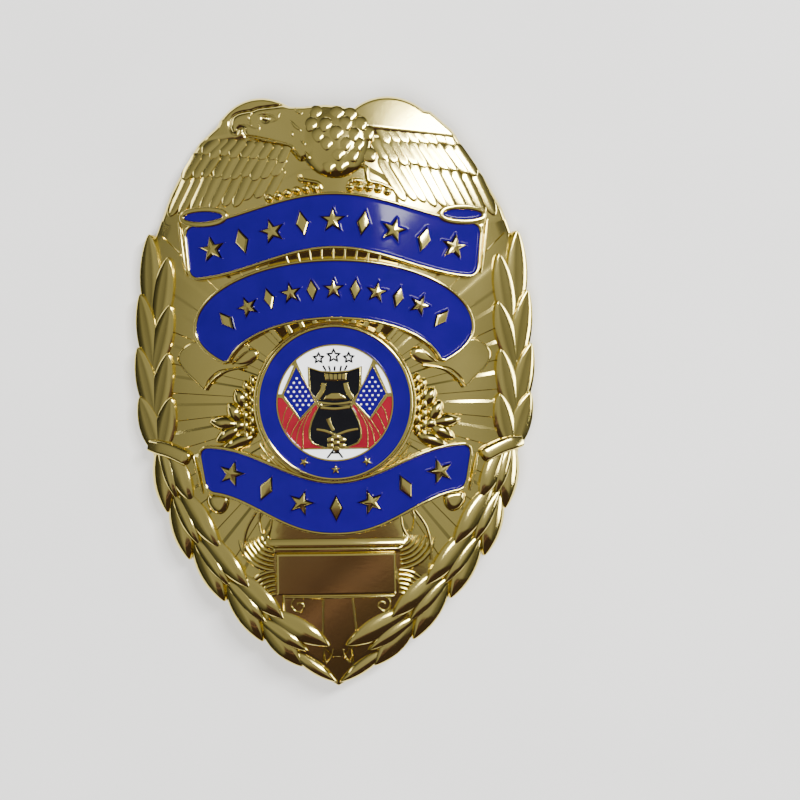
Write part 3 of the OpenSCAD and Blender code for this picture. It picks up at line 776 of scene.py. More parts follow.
@dataclass
class StruckShell:
    """The casting's bare shell: its outline, thickness, rounded edge and the sunburst on its face."""

    centre: Point = (0, -1.65)
    lobes: tuple[tuple[float, float, float], ...] = ((-10.2, 34.9, 6.85), (8, 34, 7.8))
    right_wing: Corners = ((14, 39.8), (17.3, 36.9), (18.1, 35.5), (20, 32.9), (21.9, 29.9), (24.2, 25.9),
                           (24.9, 24))
    left_wing: Corners = ((-24.6, 24.6), (-23.2, 28.3), (-22.2, 30.2), (-20.2, 33.6), (-19, 35.6),
                          (-16.3, 37.9), (-15.9, 39))
    branch: Corners = ((27, 18), (27.6, 10), (27.6, 0), (26.4, -7), (25.7, -11), (22.3, -20), (17, -27.5),
                       (10, -34.9), (3.6, -39.6))
    point: Point = (0, -41.8)
    crown_edge: Corners = ((2.9, 39.8), (1.6, 40.4), (-1, 40.6), (-4, 40.35), (-6.8, 40.4))
    under_lobes: tuple[Point, Point] = ((-12, 40), (9, 40))
    ray_pitch: float = 10.1
    ray_steps: Corners = ((0, 0), (0.3, 0.14), (5.5, 0.14), (6.6, 0))
    first_ray: float = 4.0
    ray_gains: Corners = ((3, 0.25), (-1, 0.8))
    ray_fade: tuple[float, float] = (0.8, 1.6)
    spoke_deg: float = 0.6
    inner_r: float = 11.0
    edge_fillet: Corners = ((0.5, 0), (0.32, 0.04), (0.16, 0.12), (0.05, 0.26), (0, 0.5))

    def loops(self) -> list[Loop]:
        """Outlines whose union is the shell's."""
        plate = [*self.crown_edge, self.under_lobes[0], *reversed(self.left_wing), *mirrored(self.branch, -1),
                 self.point, *reversed(self.branch), *reversed(self.right_wing), self.under_lobes[1]]
        return [np.array(plate, float), *[circle((x, y), r, 128) for x, y, r in self.lobes]]

    def reach(self, angles: Array) -> Array:
        """Distance from the seal's centre to the outline at each angle."""
        origin = np.array(self.centre)
        way = np.stack([np.cos(angles), np.sin(angles)], 1)
        best = np.zeros(len(angles))
        for loop in self.loops():
            a, b = loop - origin, np.roll(loop, -1, axis=0) - origin
            for p, q in zip(a, b - a):
                det = way[:, 1] * q[0] - way[:, 0] * q[1]
                det = np.where(np.abs(det) < 1e-12, 1e-12, det)
                t = (p[1] * q[0] - p[0] * q[1]) / det
                s = (way[:, 0] * p[1] - way[:, 1] * p[0]) / det
                best = np.where((t > best) & (s >= -1e-9) & (s <= 1 + 1e-9), t, best)
        return best

    def outline(self, inset: float, n: int = 720) -> Loop:
        """The shell's outline as one loop, counterclockwise from the right."""
        a = np.linspace(0, 2 * math.pi, n, endpoint=False)
        return arc(self.centre, self.reach(a) - inset, a)

    def spokes(self) -> tuple[Array, Array]:
        """Angles of the mesh's spokes and the height of the sunburst on each, the left half mirrored."""
        offsets, heights = zip(*self.ray_steps)
        right = []
        for k in range(-10, 10):
            start = self.first_ray + k * self.ray_pitch
            ends = [start + o for o in offsets] + [start + self.ray_pitch]
            levels = [dict(self.ray_gains).get(k, 1) * h for h in (*heights, 0)]
            for a, b, ha, hb in zip(ends, ends[1:], levels, levels[1:]):
                n = max(1, round((b - a) / self.spoke_deg))
                right += [(a + (b - a) * i / n, ha + (hb - ha) * i / n) for i in range(n)]
        right = [(a, h) for a, h in right if -89.6 < a < 89.6]
        left = [(180 - a, h) for a, h in reversed(right)]
        every = np.array([*right, (90, right[-1][1]), *left, (270, right[0][1])])
        return np.radians(every[:, 0]), every[:, 1]

    def build(self, shop: Workshop) -> None:
        """Builds the face with its rays, the rounded edge and the hollow back."""
        a, lift = self.spokes()
        reach = self.reach(a)
        rows = []

        def ground(r: Array) -> Array:
            """Height of the bare face at a distance from the seal's centre."""
            return FACE.z(*arc(self.centre, r, a).T)

        def ring(r: Array, z: Array) -> None:
            """Adds a ring of points at a distance from the seal's centre."""
            rows.append(np.column_stack([arc(self.centre, r, a), z]))

        for s in np.linspace(0, 1, 44):
            r = self.inner_r + (reach - self.edge_fillet[0][0] - self.inner_r) * s
            ring(r, ground(r) + lift * ramp(reach - r, *self.ray_fade))
        for inset, drop in self.edge_fillet[1:]:
            ring(reach - inset, ground(reach - inset) - drop)
        back = np.maximum(ground(reach) - FACE.wall, 0)
        ring(reach, np.maximum(back + 0.12, 0.15))
        ring(reach - 0.15, back)
        for s in np.linspace(0.97, 0.06, 16):
            ring(reach * s, np.maximum(ground(reach * s) - FACE.wall, 0))
        n, last, middle = len(a), (len(rows) - 1) * len(a), FACE.z(*self.centre)
        points = [*np.concatenate(rows), (*self.centre, middle - FACE.wall), (*self.centre, middle)]
        faces = band_faces(len(rows), n)
        faces += [(last + i, last + (i + 1) % n, len(points) - 2) for i in range(n)]
        faces += [((i + 1) % n, i, len(points) - 1) for i in range(n)]
        shop.put(mesh_object("struck_shell", points, faces, 14), "shield")


# The wreath


def blunt_leaf(s: float) -> float:
    """Half width of a blunt leaf, as a share, at a share s of its length."""
    return math.sin(math.pi * s**0.95) ** 0.62


def pointed_leaf(s: float) -> float:
    """Half width of a pointed leaf, as a share, at a share s of its length."""
    return math.sin(math.pi * s**0.88) ** 0.7


def round_form(s: float) -> float:
    """Half width of a round form, as a share, at a share s of its length."""
    return math.sqrt(max(0, 1 - (2 * s - 1) ** 2))


@dataclass(frozen=True)
class BladeForm:
    """A leaf, feather, scale or bead of length 1 and width 1 whose heights are in millimetres."""

    half: Callable[[float], float]
    edge_h: float
    rib_h: float
    groove: float = 0.0
    roundness: float = 2.2
    arch: float = 0.25
    tip_drop: float = 0.0
    foot: float = 1.1
    rows: int = 20
    columns: int = 12

    def height(self, u: float, v: float) -> float:
        """Height of the top at u along the blade and v across it."""
        ends = math.sin(math.pi * u) ** self.arch if 0 < u < 1 else 0.0
        crown = (1 - abs(v) ** self.roundness) * (self.rib_h - self.edge_h)
        line = self.groove * math.exp(-((v / 0.09) ** 2)) * min(1, 4 * (1 - u))
        drop = self.tip_drop * max(0, (u - 0.6) / 0.4) ** 2
        return self.edge_h + (crown - line) * ends - drop

    def build(self) -> Object:
        """Builds the form, to be copied and then removed."""
        n = self.columns
        across = np.sin(np.linspace(-math.pi / 2, math.pi / 2, n + 1)).tolist()
        along = (0.5 - 0.5 * np.cos(np.linspace(0, math.pi, self.rows + 1))).tolist()[1:-1]
        points = [(u, 0, self.height(u, 0)) for u in (0, 1)]
        points += [(u, 0, -self.foot) for u in (0, 1)]
        points += [(u, v * self.half(u) / 2, self.height(u, v)) for u in along for v in across]
        points += [(u, side * self.half(u) / 2, -self.foot) for u in along for side in SIDES]
        top = [list(range(k, k + n + 1)) for k in range(4, 4 + len(along) * (n + 1), n + 1)]
        low = [(k, k + 1) for k in range(top[-1][-1] + 1, len(points), 2)]
        faces = [(a[i], b[i], b[i + 1], a[i + 1]) for a, b in zip(top, top[1:]) for i in range(n)]
        faces += [(0, top[0][i], top[0][i + 1]) for i in range(n)]
        faces += [(1, top[-1][i + 1], top[-1][i]) for i in range(n)]
        for (a0, a1), (b0, b1), ta, tb in zip(low, low[1:], top, top[1:]):
            faces += [(a0, a1, b1, b0), (a0, b0, tb[0], ta[0]), (a1, ta[-1], tb[-1], b1)]
        (a0, a1), (b0, b1) = low[0], low[-1]
        faces += [(2, a1, a0), (3, b0, b1), (0, 2, a0, top[0][0]), (0, top[0][-1], a1, 2),
                  (1, top[-1][0], b0, 3), (1, 3, b1, top[-1][-1])]
        return mesh_object("form", points, faces, unit=1.0)


def blade(base: Point, tip: Point, width: float, lift: float = 0.0, pitch_deg: float = 0.0,
          lean_deg: float = 0.0) -> Stand:
    """Stand of a leaf or feather from its base to its tip."""
    heading = math.degrees(math.atan2(tip[1] - base[1], tip[0] - base[0]))
    return Stand(base, heading, (math.dist(base, tip), width), lift, pitch_deg, lean_deg)


def bead(x: float, y: float, across: float, lift: float) -> Stand:
    """Stand of a round form about a place."""
    return Stand((x - across / 2, y), 0, (across, across), lift)


@dataclass(frozen=True)
class LeafPair:
    """One node of a branch: where its outer and inner leaves start, and their tips."""

    base: Point
    outer: Point
    inner: Point
    inner_base: Point

    def between(self, share: float = 0.86) -> Point:
        """Tip of a small leaf between the two."""
        return tuple(b + share * ((o + i) / 2 - b) for b, o, i in zip(self.base, self.outer, self.inner))


@dataclass
class LaurelWreath:
    """Two laurel branches: leaves in pairs that overlap like tiles, each branch tied by a band."""

    upper: tuple[LeafPair, ...] = (
        LeafPair((26.2, 10.6), (26.2, 22.7), (23.3, 19.3), (25.2, 8.6)),
        LeafPair((25.8, 2.6), (27.6, 14.2), (22.9, 12.5), (25.8, 2.6)),
        LeafPair((25.6, -4.2), (28, 6.6), (23.2, 5.7), (25.6, -4.2)),
        LeafPair((25.1, -9), (27.8, -0.4), (22.9, -0.6), (25.1, -9)))
    lower: tuple[LeafPair, ...] = (
        LeafPair((25, -7.2), (24.1, -17), (20.2, -15.6), (24, -7.6)),
        LeafPair((23.2, -14.2), (21, -23.7), (16.3, -22), (22.4, -13.4)),
        LeafPair((20.4, -20.4), (16, -29.6), (12.2, -27.6), (19.6, -19.4)),
        LeafPair((15.8, -26.4), (10.7, -35.3), (7.5, -32), (15.2, -25.2)),
        LeafPair((11, -32), (5.2, -38.9), (1.1, -35.9), (10.2, -30.9)))
    last: tuple[Point, Point] = ((6.9, -36.5), (0.2, -41.2))
    upper_w: float = 3.2
    lower_w: float = 3.1
    small_share: float = 0.7
    last_share: float = 0.6
    tie: Corners = ((26.5, -7.4), (24, -8), (21.9, -8.9), (20.9, -9.5))

    def upper_stands(self) -> list[Stand]:
        """Where the leaves above the ties stand: the lower pairs cover the feet of the higher ones."""
        leaves = [ends for pair in self.upper
                  for ends in ((pair.base, pair.outer), (pair.inner_base, pair.inner))]
        return [blade(*mirrored(ends, side), self.upper_w, -0.3, 2.2) for side in SIDES for ends in leaves]

    def lower_stands(self) -> list[Stand]:
        """Where the leaves below the ties stand: the higher pairs cover the feet of the lower ones."""
        leaves = []
        for pair in self.lower:
            leaves += [((pair.base, pair.outer), self.lower_w, -0.35, 3.6),
                       ((pair.inner_base, pair.inner), self.lower_w, -0.3, 3.7),
                       ((pair.base, pair.between()), self.small_share * self.lower_w, -0.2, 3.6)]
        leaves.append((self.last, self.last_share * self.lower_w, -0.35, 3.6))
        return [blade(*mirrored(ends, side), *rest) for side in SIDES for ends, *rest in leaves]

    def build(self, shop: Workshop) -> None:
        """Builds the leaves and the ties."""
        blunt = BladeForm(blunt_leaf, 0.42, 0.64, 0.06, roundness=3.0, foot=1.0)
        shop.scatter("upper_laurel_leaves", blunt, self.upper_stands())
        pointed = BladeForm(pointed_leaf, 0.3, 0.7, -0.06, roundness=2.6, arch=0.4, tip_drop=0.62, foot=1.0)
        shop.scatter("lower_laurel_leaves", pointed, self.lower_stands())
        paths = [Path(smooth_path(mirrored(self.tie, side), 8), swell=(0.75, 1, 1, 1, 1, 0.85))
                 for side in SIDES]
        shop.sweep("branch_ties", paths, 2.1, -0.5, 1.2, 0.5)


# The ribbons


@dataclass(frozen=True)
class WavingEdge:
    """One edge of a ribbon: its middle height, swing, degrees for each millimetre and power."""

    middle: float
    swing: float
    rate: float
    power: float = 1.0

    def y(self, x: Array | float) -> Array | float:
        """Height along the badge at x."""
        return self.middle + self.swing * np.sin(np.radians(self.rate * np.abs(x))) ** (2 * self.power)


@dataclass
class Ribbon:
    """One enamelled ribbon: its outline and the raised ornaments in its cell."""

    name: str
    outline: Loop
    stars: list[Stand] = field(default_factory=list)
    lozenges: list[Stand] = field(default_factory=list)


def star_corners(r: float) -> list[Point]:
    """Corners of a five-pointed star with one point up."""
    reach = [(r, 0.42 * r)[i % 2] for i in range(10)]
    return [(far * math.cos(math.radians(90 + 36 * i)), far * math.sin(math.radians(90 + 36 * i)))
            for i, far in enumerate(reach)]


def lozenge_corners(r: float) -> list[Point]:
    """Corners of an upright lozenge."""
    return [(0, r), (0.5 * r, 0), (0, -r), (-0.5 * r, 0)]


@dataclass(frozen=True)
class FacetedForm:
    """Flat ornament with bevelled edges and a low ridge to its middle."""

    corners: Sequence[Point]
    low: float
    edge: float
    top: float
    inset: float = 0.24
    ridge: float = 0.08

    def build(self) -> Object:
        """Builds the form, to be copied and then removed."""
        outer = np.array(self.corners, float)
        inner = grown(outer, -self.inset)
        middle, n = outer.mean(0), len(outer)
        points = [(*p, z) for loop, z in ((outer, self.low), (outer, self.edge), (inner, self.top))
                  for p in loop]
        points += [(*middle, self.top + self.ridge), (*middle, self.low)]
        faces = []
        for i in range(n):
            j = (i + 1) % n
            faces += [(i, j, n + j, n + i), (n + i, n + j, 2 * n + j, 2 * n + i),
                      (2 * n + i, 2 * n + j, 3 * n), (j, i, 3 * n + 1)]
        return mesh_object("form", points, faces, 20, unit=1.0)


@dataclass
class Ribbons:
    """The three ribbons and the two rolled ends, with their gold rims and raised ornaments."""

    rim_w: float = 0.5
    rim_h: float = 0.95
    enamel_h: float = 0.8
    enamel_insets: tuple[float, ...] = (0.05, 0.11, 0.17, 0.23, 0.29, 0.35, 0.46)
    ornament_r: float = 1.9
    corner_r: float = 0.5
    top_edges: tuple[WavingEdge, WavingEdge] = (WavingEdge(27.5, -4.2, 4.05), WavingEdge(20.3, -4.1, 4.4))
    low_edges: tuple[WavingEdge, WavingEdge] = (WavingEdge(-13, 5.1, 5), WavingEdge(-19.8, 5.9, 4.9, 1.2))
    middle_y: float = 8.9
    middle_half_w: float = 19.4
    middle_rise: tuple[float, float] = (9.2, 7.5)
    middle_arch: tuple[float, float, float] = (15.3, 7.4, 3)
    middle_row_oval: tuple[float, float, float] = (17.3, 8.4, 5.85)
    seal_y: float = -1.65
    seal_gap_r: float = 11.3
    seal_bars: tuple[float, float, float, float] = (49.5, 135, 9, 11.45)
    curl_at: Point = (18.3, 24.8)
    curl_half: tuple[float, float] = (2.75, 0.72)
    curl_rim_w: float = 0.8
    end_folds: tuple[Corners, ...] = (((21.9, 24.2), (21.4, 20.5), (20.9, 16.6)),
                                      ((20.1, -9), (19.5, -11.8), (18.9, -14.3)))

    def waving(self, edges: tuple[WavingEdge, WavingEdge], top_x: float, low_x: float) -> Loop:
        """Outline between two waving edges, with small rounded corners."""
        s = np.linspace(-1, 1, 61)
        upper = np.stack([top_x * s, edges[0].y(top_x * s)], 1)[::-1]
        lower = np.stack([low_x * s, edges[1].y(low_x * s)], 1)
        loop = closed(np.concatenate([lower, upper]), 0.4)
        return self.softened(loop, [lower[0], lower[-1], upper[0], upper[-1]])

    def softened(self, loop: Loop, corners: Sequence[Array]) -> Loop:
        """Outline whose points near the corners are drawn into an arc."""
        out = loop.copy()
        near = np.min([np.linalg.norm(loop - c, axis=1) for c in corners], axis=0) < self.corner_r * 1.6
        for _ in range(6):
            middle = (np.roll(out, 1, axis=0) + np.roll(out, -1, axis=0)) / 2
            out[near] = middle[near]
        return out

    def middle(self) -> Loop:
        """Outline of the middle ribbon: an oval less a lower oval."""
        a = np.radians(np.linspace(-62, 242, 160))
        rise = np.where(np.sin(a) > 0, *self.middle_rise)
        outer = np.stack([self.middle_half_w * np.cos(a), self.middle_y + rise * np.sin(a)], 1)
        inner_a, inner_b, inner_y = self.middle_arch
        inside = (outer[:, 0] / inner_a) ** 2 + ((outer[:, 1] - inner_y) / inner_b) ** 2 < 1
        keep = outer[~inside]
        end, start = [math.atan2((y - inner_y) / inner_b, x / inner_a) for x, y in (keep[0], keep[-1])]
        b = np.linspace(start if start > 0 else start + 2 * math.pi, end, 100)[1:-1]
        inner = np.stack([inner_a * np.cos(b), inner_y + inner_b * np.sin(b)], 1)
        return closed(np.concatenate([keep, inner]), 0.4)

    def row(self, edges: tuple[WavingEdge, WavingEdge], count: int,
            half_w: float) -> list[tuple[Point, float]]:
        """Places and turns of the ornaments along a waving ribbon."""
        out = []
        for x in np.linspace(-half_w, half_w, count):
            rise = sum(e.y(x + 0.5) - e.y(x - 0.5) for e in edges) / 2
            middle = float((edges[0].y(x) + edges[1].y(x)) / 2)
            out.append(((float(x), middle), math.degrees(math.atan(rise))))
        return out

    def middle_row(self) -> list[tuple[Point, float]]:
        """Places and turns of the ornaments along the middle ribbon."""
        a, b, y = self.middle_row_oval
        out = []
        for x in np.linspace(-15, 15, 11):
            t = math.acos(x / a)
            turn = math.degrees(math.atan2(-b * math.cos(t), a * math.sin(t)))
            out.append(((float(x), y + b * math.sin(t)), turn))
        return out

    def ribbons(self) -> list[Ribbon]:
        """The ribbons and rolled ends with their ornaments, stars and lozenges in turn."""
        top, low = self.top_edges, self.low_edges
        rows = (("top_ribbon", self.waving(top, 20.9, 20.2), self.row(top, 9, 17), 0, 1),
                ("middle_ribbon", self.middle(), self.middle_row(), 1, 0.85),
                ("lower_ribbon", self.waving(low, 19.1, 18.1), self.row(low, 7, 14.6), 0, 1))
        made = []
        for name, outline, row, first, scale in rows:
            stands = [Stand(p, turn, (scale, scale)) for p, turn in row]
            made.append(Ribbon(name, outline, stands[first::2], stands[1 - first::2]))
        across, squash = self.curl_half[0], self.curl_half[1] / self.curl_half[0]
        for side, word in zip(SIDES, ("left", "right")):
            oval = circle((side * self.curl_at[0], self.curl_at[1]), across, 72, squash)
            made.append(Ribbon(f"{word}_curl", oval))
        return made

    def holes(self, ribbon: Ribbon) -> list[Loop]:
        """Outlines of a ribbon's ornaments in place."""
        stars, lozenges = star_corners(self.ornament_r), lozenge_corners(self.ornament_r)
        return [closed(set_down(corners, s.at, s.heading_deg, s.size[0]), 0.35)
                for stands, corners in ((ribbon.stars, stars), (ribbon.lozenges, lozenges)) for s in stands]

    def sloping_floor(self, lower: Callable, upper: Callable, low_x: float, top_x: float) -> Object:
        """Floor of a gap that rises from its lower edge to its upper one, and so turns away from the light.

        Args:
            lower: Lower edge, as its height along the badge at x.
            upper: Upper edge, in the same way.
            low_x: Half width along the lower edge.
            top_x: Half width along the upper edge.
        Returns:
            The floor.
        """
        def top(x: Array, y: Array, d: Array) -> Array:
            """Height of the floor."""
            rise = np.minimum(0.42, 0.85 / np.maximum(upper(x) - lower(x), 0.1))
            return FACE.z(x, y) + 0.05 + rise * (y - lower(x))

        s = np.linspace(-1, 1, 37)
        edges = [np.stack([w * s, edge(w * s)], 1) for w, edge in ((low_x, lower), (top_x, upper))]
        loop = closed(np.concatenate([edges[0], edges[1][::-1]]), 0.5)
        return plate_object("gap_floor", [loop], 0.4, top, over_face(-0.2), ())

    def gaps(self, shop: Workshop) -> None:
        """Builds the floors and bars of the gaps above the middle ribbon and below it."""
        a, b, mid = self.middle_arch

        def crown(x: Array) -> Array:
            """Upper edge of the middle ribbon."""
            return self.middle_y + self.middle_rise[0] * np.sqrt(1 - (x / self.middle_half_w) ** 2)

        def arch(x: Array) -> Array:
            """Lower edge of the middle ribbon."""
            return mid + b * np.sqrt(1 - (x / a) ** 2) - 0.1

        def round_seal(x: Array) -> Array:
            """Upper edge of the seal's seat."""
            return self.seal_y + np.sqrt(self.seal_gap_r**2 - x**2)

        over = self.top_edges[1]
        shop.put_all("ribbon_gap_floors", [self.sloping_floor(crown, over.y, 9, 9),
                                           self.sloping_floor(round_seal, arch, 7.5, 9.1)])
        x = np.linspace(-6.3, 6.3, 9)
        feet, heads = np.stack([x, crown(x) + 0.4], 1), np.stack([1.05 * x, over.y(1.05 * x) - 0.4], 1)
        bars = [Path(np.array(ends)) for ends in zip(feet, heads)]
        shop.sweep("ribbon_gap_bars", bars, 0.34, -0.2, self.rim_h - 0.1, 0.12)
        first, last, pitch, near = self.seal_bars
        bars = []
        for angle in np.radians(np.arange(first, last, pitch)):
            way = np.array([math.cos(angle), math.sin(angle)])
            r = np.linspace(near, 17, 200)
            r = r[(r * way[0] / a) ** 2 + ((self.seal_y + r * way[1] - mid) / b) ** 2 < 1]
            bars.append(Path(np.linspace(near, r[-1] - 0.1, 12)[:, None] * way + np.array([0, self.seal_y])))
        shop.sweep("sunburst_bars", bars, 0.8, -0.3, self.rim_h - 0.08)

    def build(self, shop: Workshop) -> None:
        """Builds rims, enamel and ornaments."""
        def enamel(d: Array) -> Array:
            """Height of the enamel over the face, which rises a little to its edges."""
            return self.enamel_h - 0.06 + 0.13 * np.clip(1 - d / 0.34, 0, 1) ** 2

        made = self.ribbons()
        for ribbon in made:
            piece = plate_object(f"{ribbon.name}_blue", [ribbon.outline, *self.holes(ribbon)], 0.5,
                                 over_face(enamel), over_face(-0.1), self.enamel_insets)
            shop.put(piece, f"{ribbon.name}_enamel", slot=Slot.BLUE)
        rims = [Path(grown(r.outline, self.rim_w / 2 - 0.03), ring=True) for r in made[:3]]
        shop.sweep("ribbon_rims", rims, self.rim_w, -0.4, self.rim_h)
        curls = [Path(grown(r.outline, self.curl_rim_w / 2 - 0.04), ring=True) for r in made[3:]]
        shop.sweep("curl_rims", curls, self.curl_rim_w, -0.4, self.rim_h + 0.1, 0.24)
        self.gaps(shop)
        folds = [Path(smooth_path(mirrored(line, side), 10), swell=(0.7, 1, 1, 0.7))
                 for side in SIDES for line in self.end_folds]
        shop.sweep("ribbon_end_folds", folds, 0.5, -0.2, 0.62, 0.22)
        for kind, corners in (("stars", star_corners), ("lozenges", lozenge_corners)):
            form = FacetedForm(corners(self.ornament_r), 0.2, self.rim_h - 0.22, self.rim_h - 0.02)
            shop.scatter(f"ribbon_{kind}", form, [s for r in made for s in getattr(r, kind)], 20)


# The eagle


def feather_half(s: float) -> float:
    """Half width of a feather, as a share, at a share s of its length."""
    return min(1, (s / 0.1) ** 0.5) * (1 - max(0, (s - 0.74) / 0.26) ** 2) ** 0.6 if s < 1 else 0.0


def scale_half(s: float) -> float:
    """Half width of a scale of the breast, as a share, at a share s of its length."""
    return math.sin(math.pi * s**0.8) ** 0.6 if 0 < s < 1 else 0.0


@dataclass(frozen=True)
class FeatherTier:
    """One row of feathers: roots and tips at its inner and outer ends, and how the feathers stand."""

    roots: tuple[Point, Point]
    tips: tuple[Point, Point]
    count: int
    width: float
    lift: float
    pitch_deg: float
    lean_deg: float = 5.0

    def stands(self, side: int, seed: int, uneven: float) -> list[Stand]:
        """Where the row's feathers stand: each one's inner edge lies on its neighbour.

        Args:
            side: Side of the badge.
            seed: Seed of the unevenness.
            uneven: Amount of the unevenness.
        Returns:
            The stands, from the inner end to the outer one.
        """
        out = []
        rng = np.random.default_rng(seed)
        for t in np.linspace(0, 1, self.count):
            root, tip = [(side * float(a[0] + t * (b[0] - a[0])), float(a[1] + t * (b[1] - a[1])))
                         for a, b in (self.roots, self.tips)]
            x, y, up, lean = uneven * rng.uniform(-1, 1, 4)
            out.append(blade(root, (tip[0] + 0.16 * x, tip[1] + 0.28 * y), self.width, self.lift + 0.03 * up,
                             self.pitch_deg, (2.5 * lean - self.lean_deg) * side))
        return out


@dataclass
class Eagle:
    """The spread eagle: wings with three tiers of feathers, a scaled breast and the head turned left."""

    wing_h: float = 0.26
    head_h: float = 0.86
    breast: tuple[float, float, float, float, float] = (0.5, 35.3, 5, 5.3, 1.15)
    head: Corners = ((-2.6, 40.35), (-6.4, 40.3), (-8.5, 40.15), (-10.4, 39.95), (-11.3, 39.65),
                     (-12.6, 39.5), (-13.7, 39.1), (-14.25, 38.3), (-14.25, 37.4), (-13.85, 36.7),
                     (-13.55, 36.85), (-13.4, 37.3), (-12.9, 37.6), (-12.4, 37.4), (-12.35, 36.9),
                     (-12, 36.3), (-10.6, 36), (-8.8, 35.55), (-7.2, 35.05), (-5.9, 34.6), (-5.2, 33.8),
                     (-4, 32.9), (-1.6, 36))
    eye: Point = (-9.35, 38.55)
    hollow: Corners = ((-9.5, 24), (-9.5, 28.4), (-6.6, 30.2), (-4.2, 31.4), (4.4, 31.8), (6.8, 30.6),
                       (9.2, 28.6), (9.4, 24))
    toes: Corners = ((-8.9, 27.2), (-7.6, 27.5), (-6.3, 27.85), (-5, 28.2), (-3.7, 28.4), (-2.4, 28.5),
                     (2.5, 28.55), (3.8, 28.6), (5.1, 28.5), (6.4, 28.3), (7.7, 27.95))
    legs: tuple[Corners, ...] = (
        ((4.1, 31.7), (4.8, 31.4), (4.95, 30.4), (5.2, 29.5), (6.8, 29.1), (8.7, 28.3)),
        ((-4.6, 30.5), (-4.5, 29.8), (-3.3, 29.5), (-2, 29.2), (-1.5, 28.4)),
        ((2.2, 28.9), (2.9, 29.6), (4.3, 29.5)))
    right_tiers: tuple[FeatherTier, ...] = (
        FeatherTier(((6.6, 33), (20.2, 31)), ((10.2, 26.6), (23, 24.6)), 10, 1.62, 0.30, 0.6),
        FeatherTier(((6, 35.6), (17.4, 34.9)), ((7.6, 32.3), (20.5, 30.3)), 10, 1.6, 0.40, 1.6),
        FeatherTier(((6.6, 37.6), (14.8, 37.4)), ((8, 34.9), (17.4, 34.8)), 8, 1.6, 0.42, 0.9, 2))
    left_tiers: tuple[FeatherTier, ...] = (
        FeatherTier(((7, 31.6), (20.4, 31)), ((9.4, 27.2), (23.2, 24.8)), 10, 1.62, 0.30, 0.6),
        FeatherTier(((6.8, 33.2), (18.8, 34)), ((8.4, 30), (21, 30.2)), 10, 1.6, 0.40, 1.6),
        FeatherTier(((6.2, 34.8), (16, 36)), ((7.3, 32.3), (18.4, 33.6)), 9, 1.5, 0.48, 1.6, 4))
    head_lines: tuple[tuple[Corners, float], ...] = (
        (((-11.25, 39.45), (-11.75, 38.7), (-11.3, 37.7)), 1.2),
        (((-13.3, 37.85), (-12.2, 37.8), (-11.1, 37.3), (-10.3, 37.15)), 0.7),
        (((-10.5, 39.1), (-9.5, 39.35), (-8.5, 39), (-7.8, 38.45)), 1.1),
        (((-7.3, 39.3), (-7.7, 38.4), (-8.8, 37.9)), 0.6),
        (((-10.4, 38.1), (-10.2, 37.3), (-10.35, 36.6)), 0.6),
        (((-12.4, 36.2), (-10.2, 35.75), (-7.6, 35.1), (-5.8, 34.6), (-5.3, 33.9), (-4.3, 33)), 0.9),
        (((-5.1, 40), (-4.8, 39.4), (-4.1, 39.1)), 1.3), (((-5.8, 38.2), (-5.2, 37.4), (-4.3, 36.7)), 1.5),
        (((-5.6, 36.6), (-5.5, 35.9)), 1.1), (((-3.8, 33.7), (-3, 32.5)), 1.4),
        (((-4.4, 35.3), (-3.6, 34.6)), 1.2))
    scale_rows: int = 7
    scale_pitch: Point = (2.05, 1.45)

    def breast_height(self, x: Array | float, y: Array | float) -> Array | float:
        """Height of the breast's ovoid over the face."""
        cx, cy, a, b, h = self.breast
        return h * np.clip(1 - ((x - cx) / a) ** 2 - ((y - cy) / b) ** 2, 0, 1) ** 0.6

    def height(self, x: Array, y: Array, rim: Array) -> Array:
        """Height of the crest over the face.

        Args:
            x: Across the badge.
            y: Along the badge.
            rim: Depth inside the shell's outline.
        Returns:
            The heights.
        """
        p = np.stack([x, y], 1)
        wing = self.wing_h + 0.42 * ramp(y + 0.1 * np.abs(x), 36.6, 38)
        hollow = depth_inside(p, [closed(self.hollow, 0.5)])
        h = wing + (0.16 - wing) * ramp(hollow, -0.1, 0.5)
        head_d = depth_inside(p, [smooth_path(self.head, 4, ring=True)])
        groove = 0.16 * np.exp(-(((head_d + 0.2) / 0.18) ** 2))
        head = self.head_h - 0.24 * (1 - round_up(head_d, 0.5))
        eye = np.hypot(x - self.eye[0], y - self.eye[1])
        head = head + 0.16 * np.exp(-((eye / 0.26) ** 2)) - 0.12 * np.exp(-(((eye - 0.5) / 0.16) ** 2))
        h = np.where(head_d > 0, np.maximum(h, head), h - groove)
        breast = self.breast_height(x, y)
        h = np.where(breast > 0.02, blend_max(h, 0.3 + breast, 0.3), h)
        return (h + 0.25) * round_up(rim - 0.02, 0.5) - 0.25

    def loop(self, shell: StruckShell, ribbons: Ribbons) -> Loop:
        """Outline of the crest, down to the top ribbon."""
        edge = shell.outline(0.12)
        upper = edge[edge[:, 1] > 24.3]
        x = np.linspace(-22.5, 22.5, 90)
        on_ribbon = ribbons.top_edges[0].y(np.clip(x, -20.9, 20.9)) + 0.2
        lower = np.stack([x, np.where(np.abs(x) < 21, on_ribbon, 23.6)], 1)
        upper = upper[np.argsort(np.arctan2(upper[:, 1] - 20, upper[:, 0]))]
        return closed(np.concatenate([upper, lower]), 0.3)

    def build(self, shop: Workshop, shell: StruckShell, ribbons: Ribbons) -> None:
        """Builds the crest, its feathers, scales, legs and toes."""
        edge = [shell.outline(0.1)]

        def top(x: Array, y: Array, d: Array) -> Array:
            """Height of the crest."""
            return FACE.z(x, y) + self.height(x, y, depth_inside(np.stack([x, y], 1), edge))

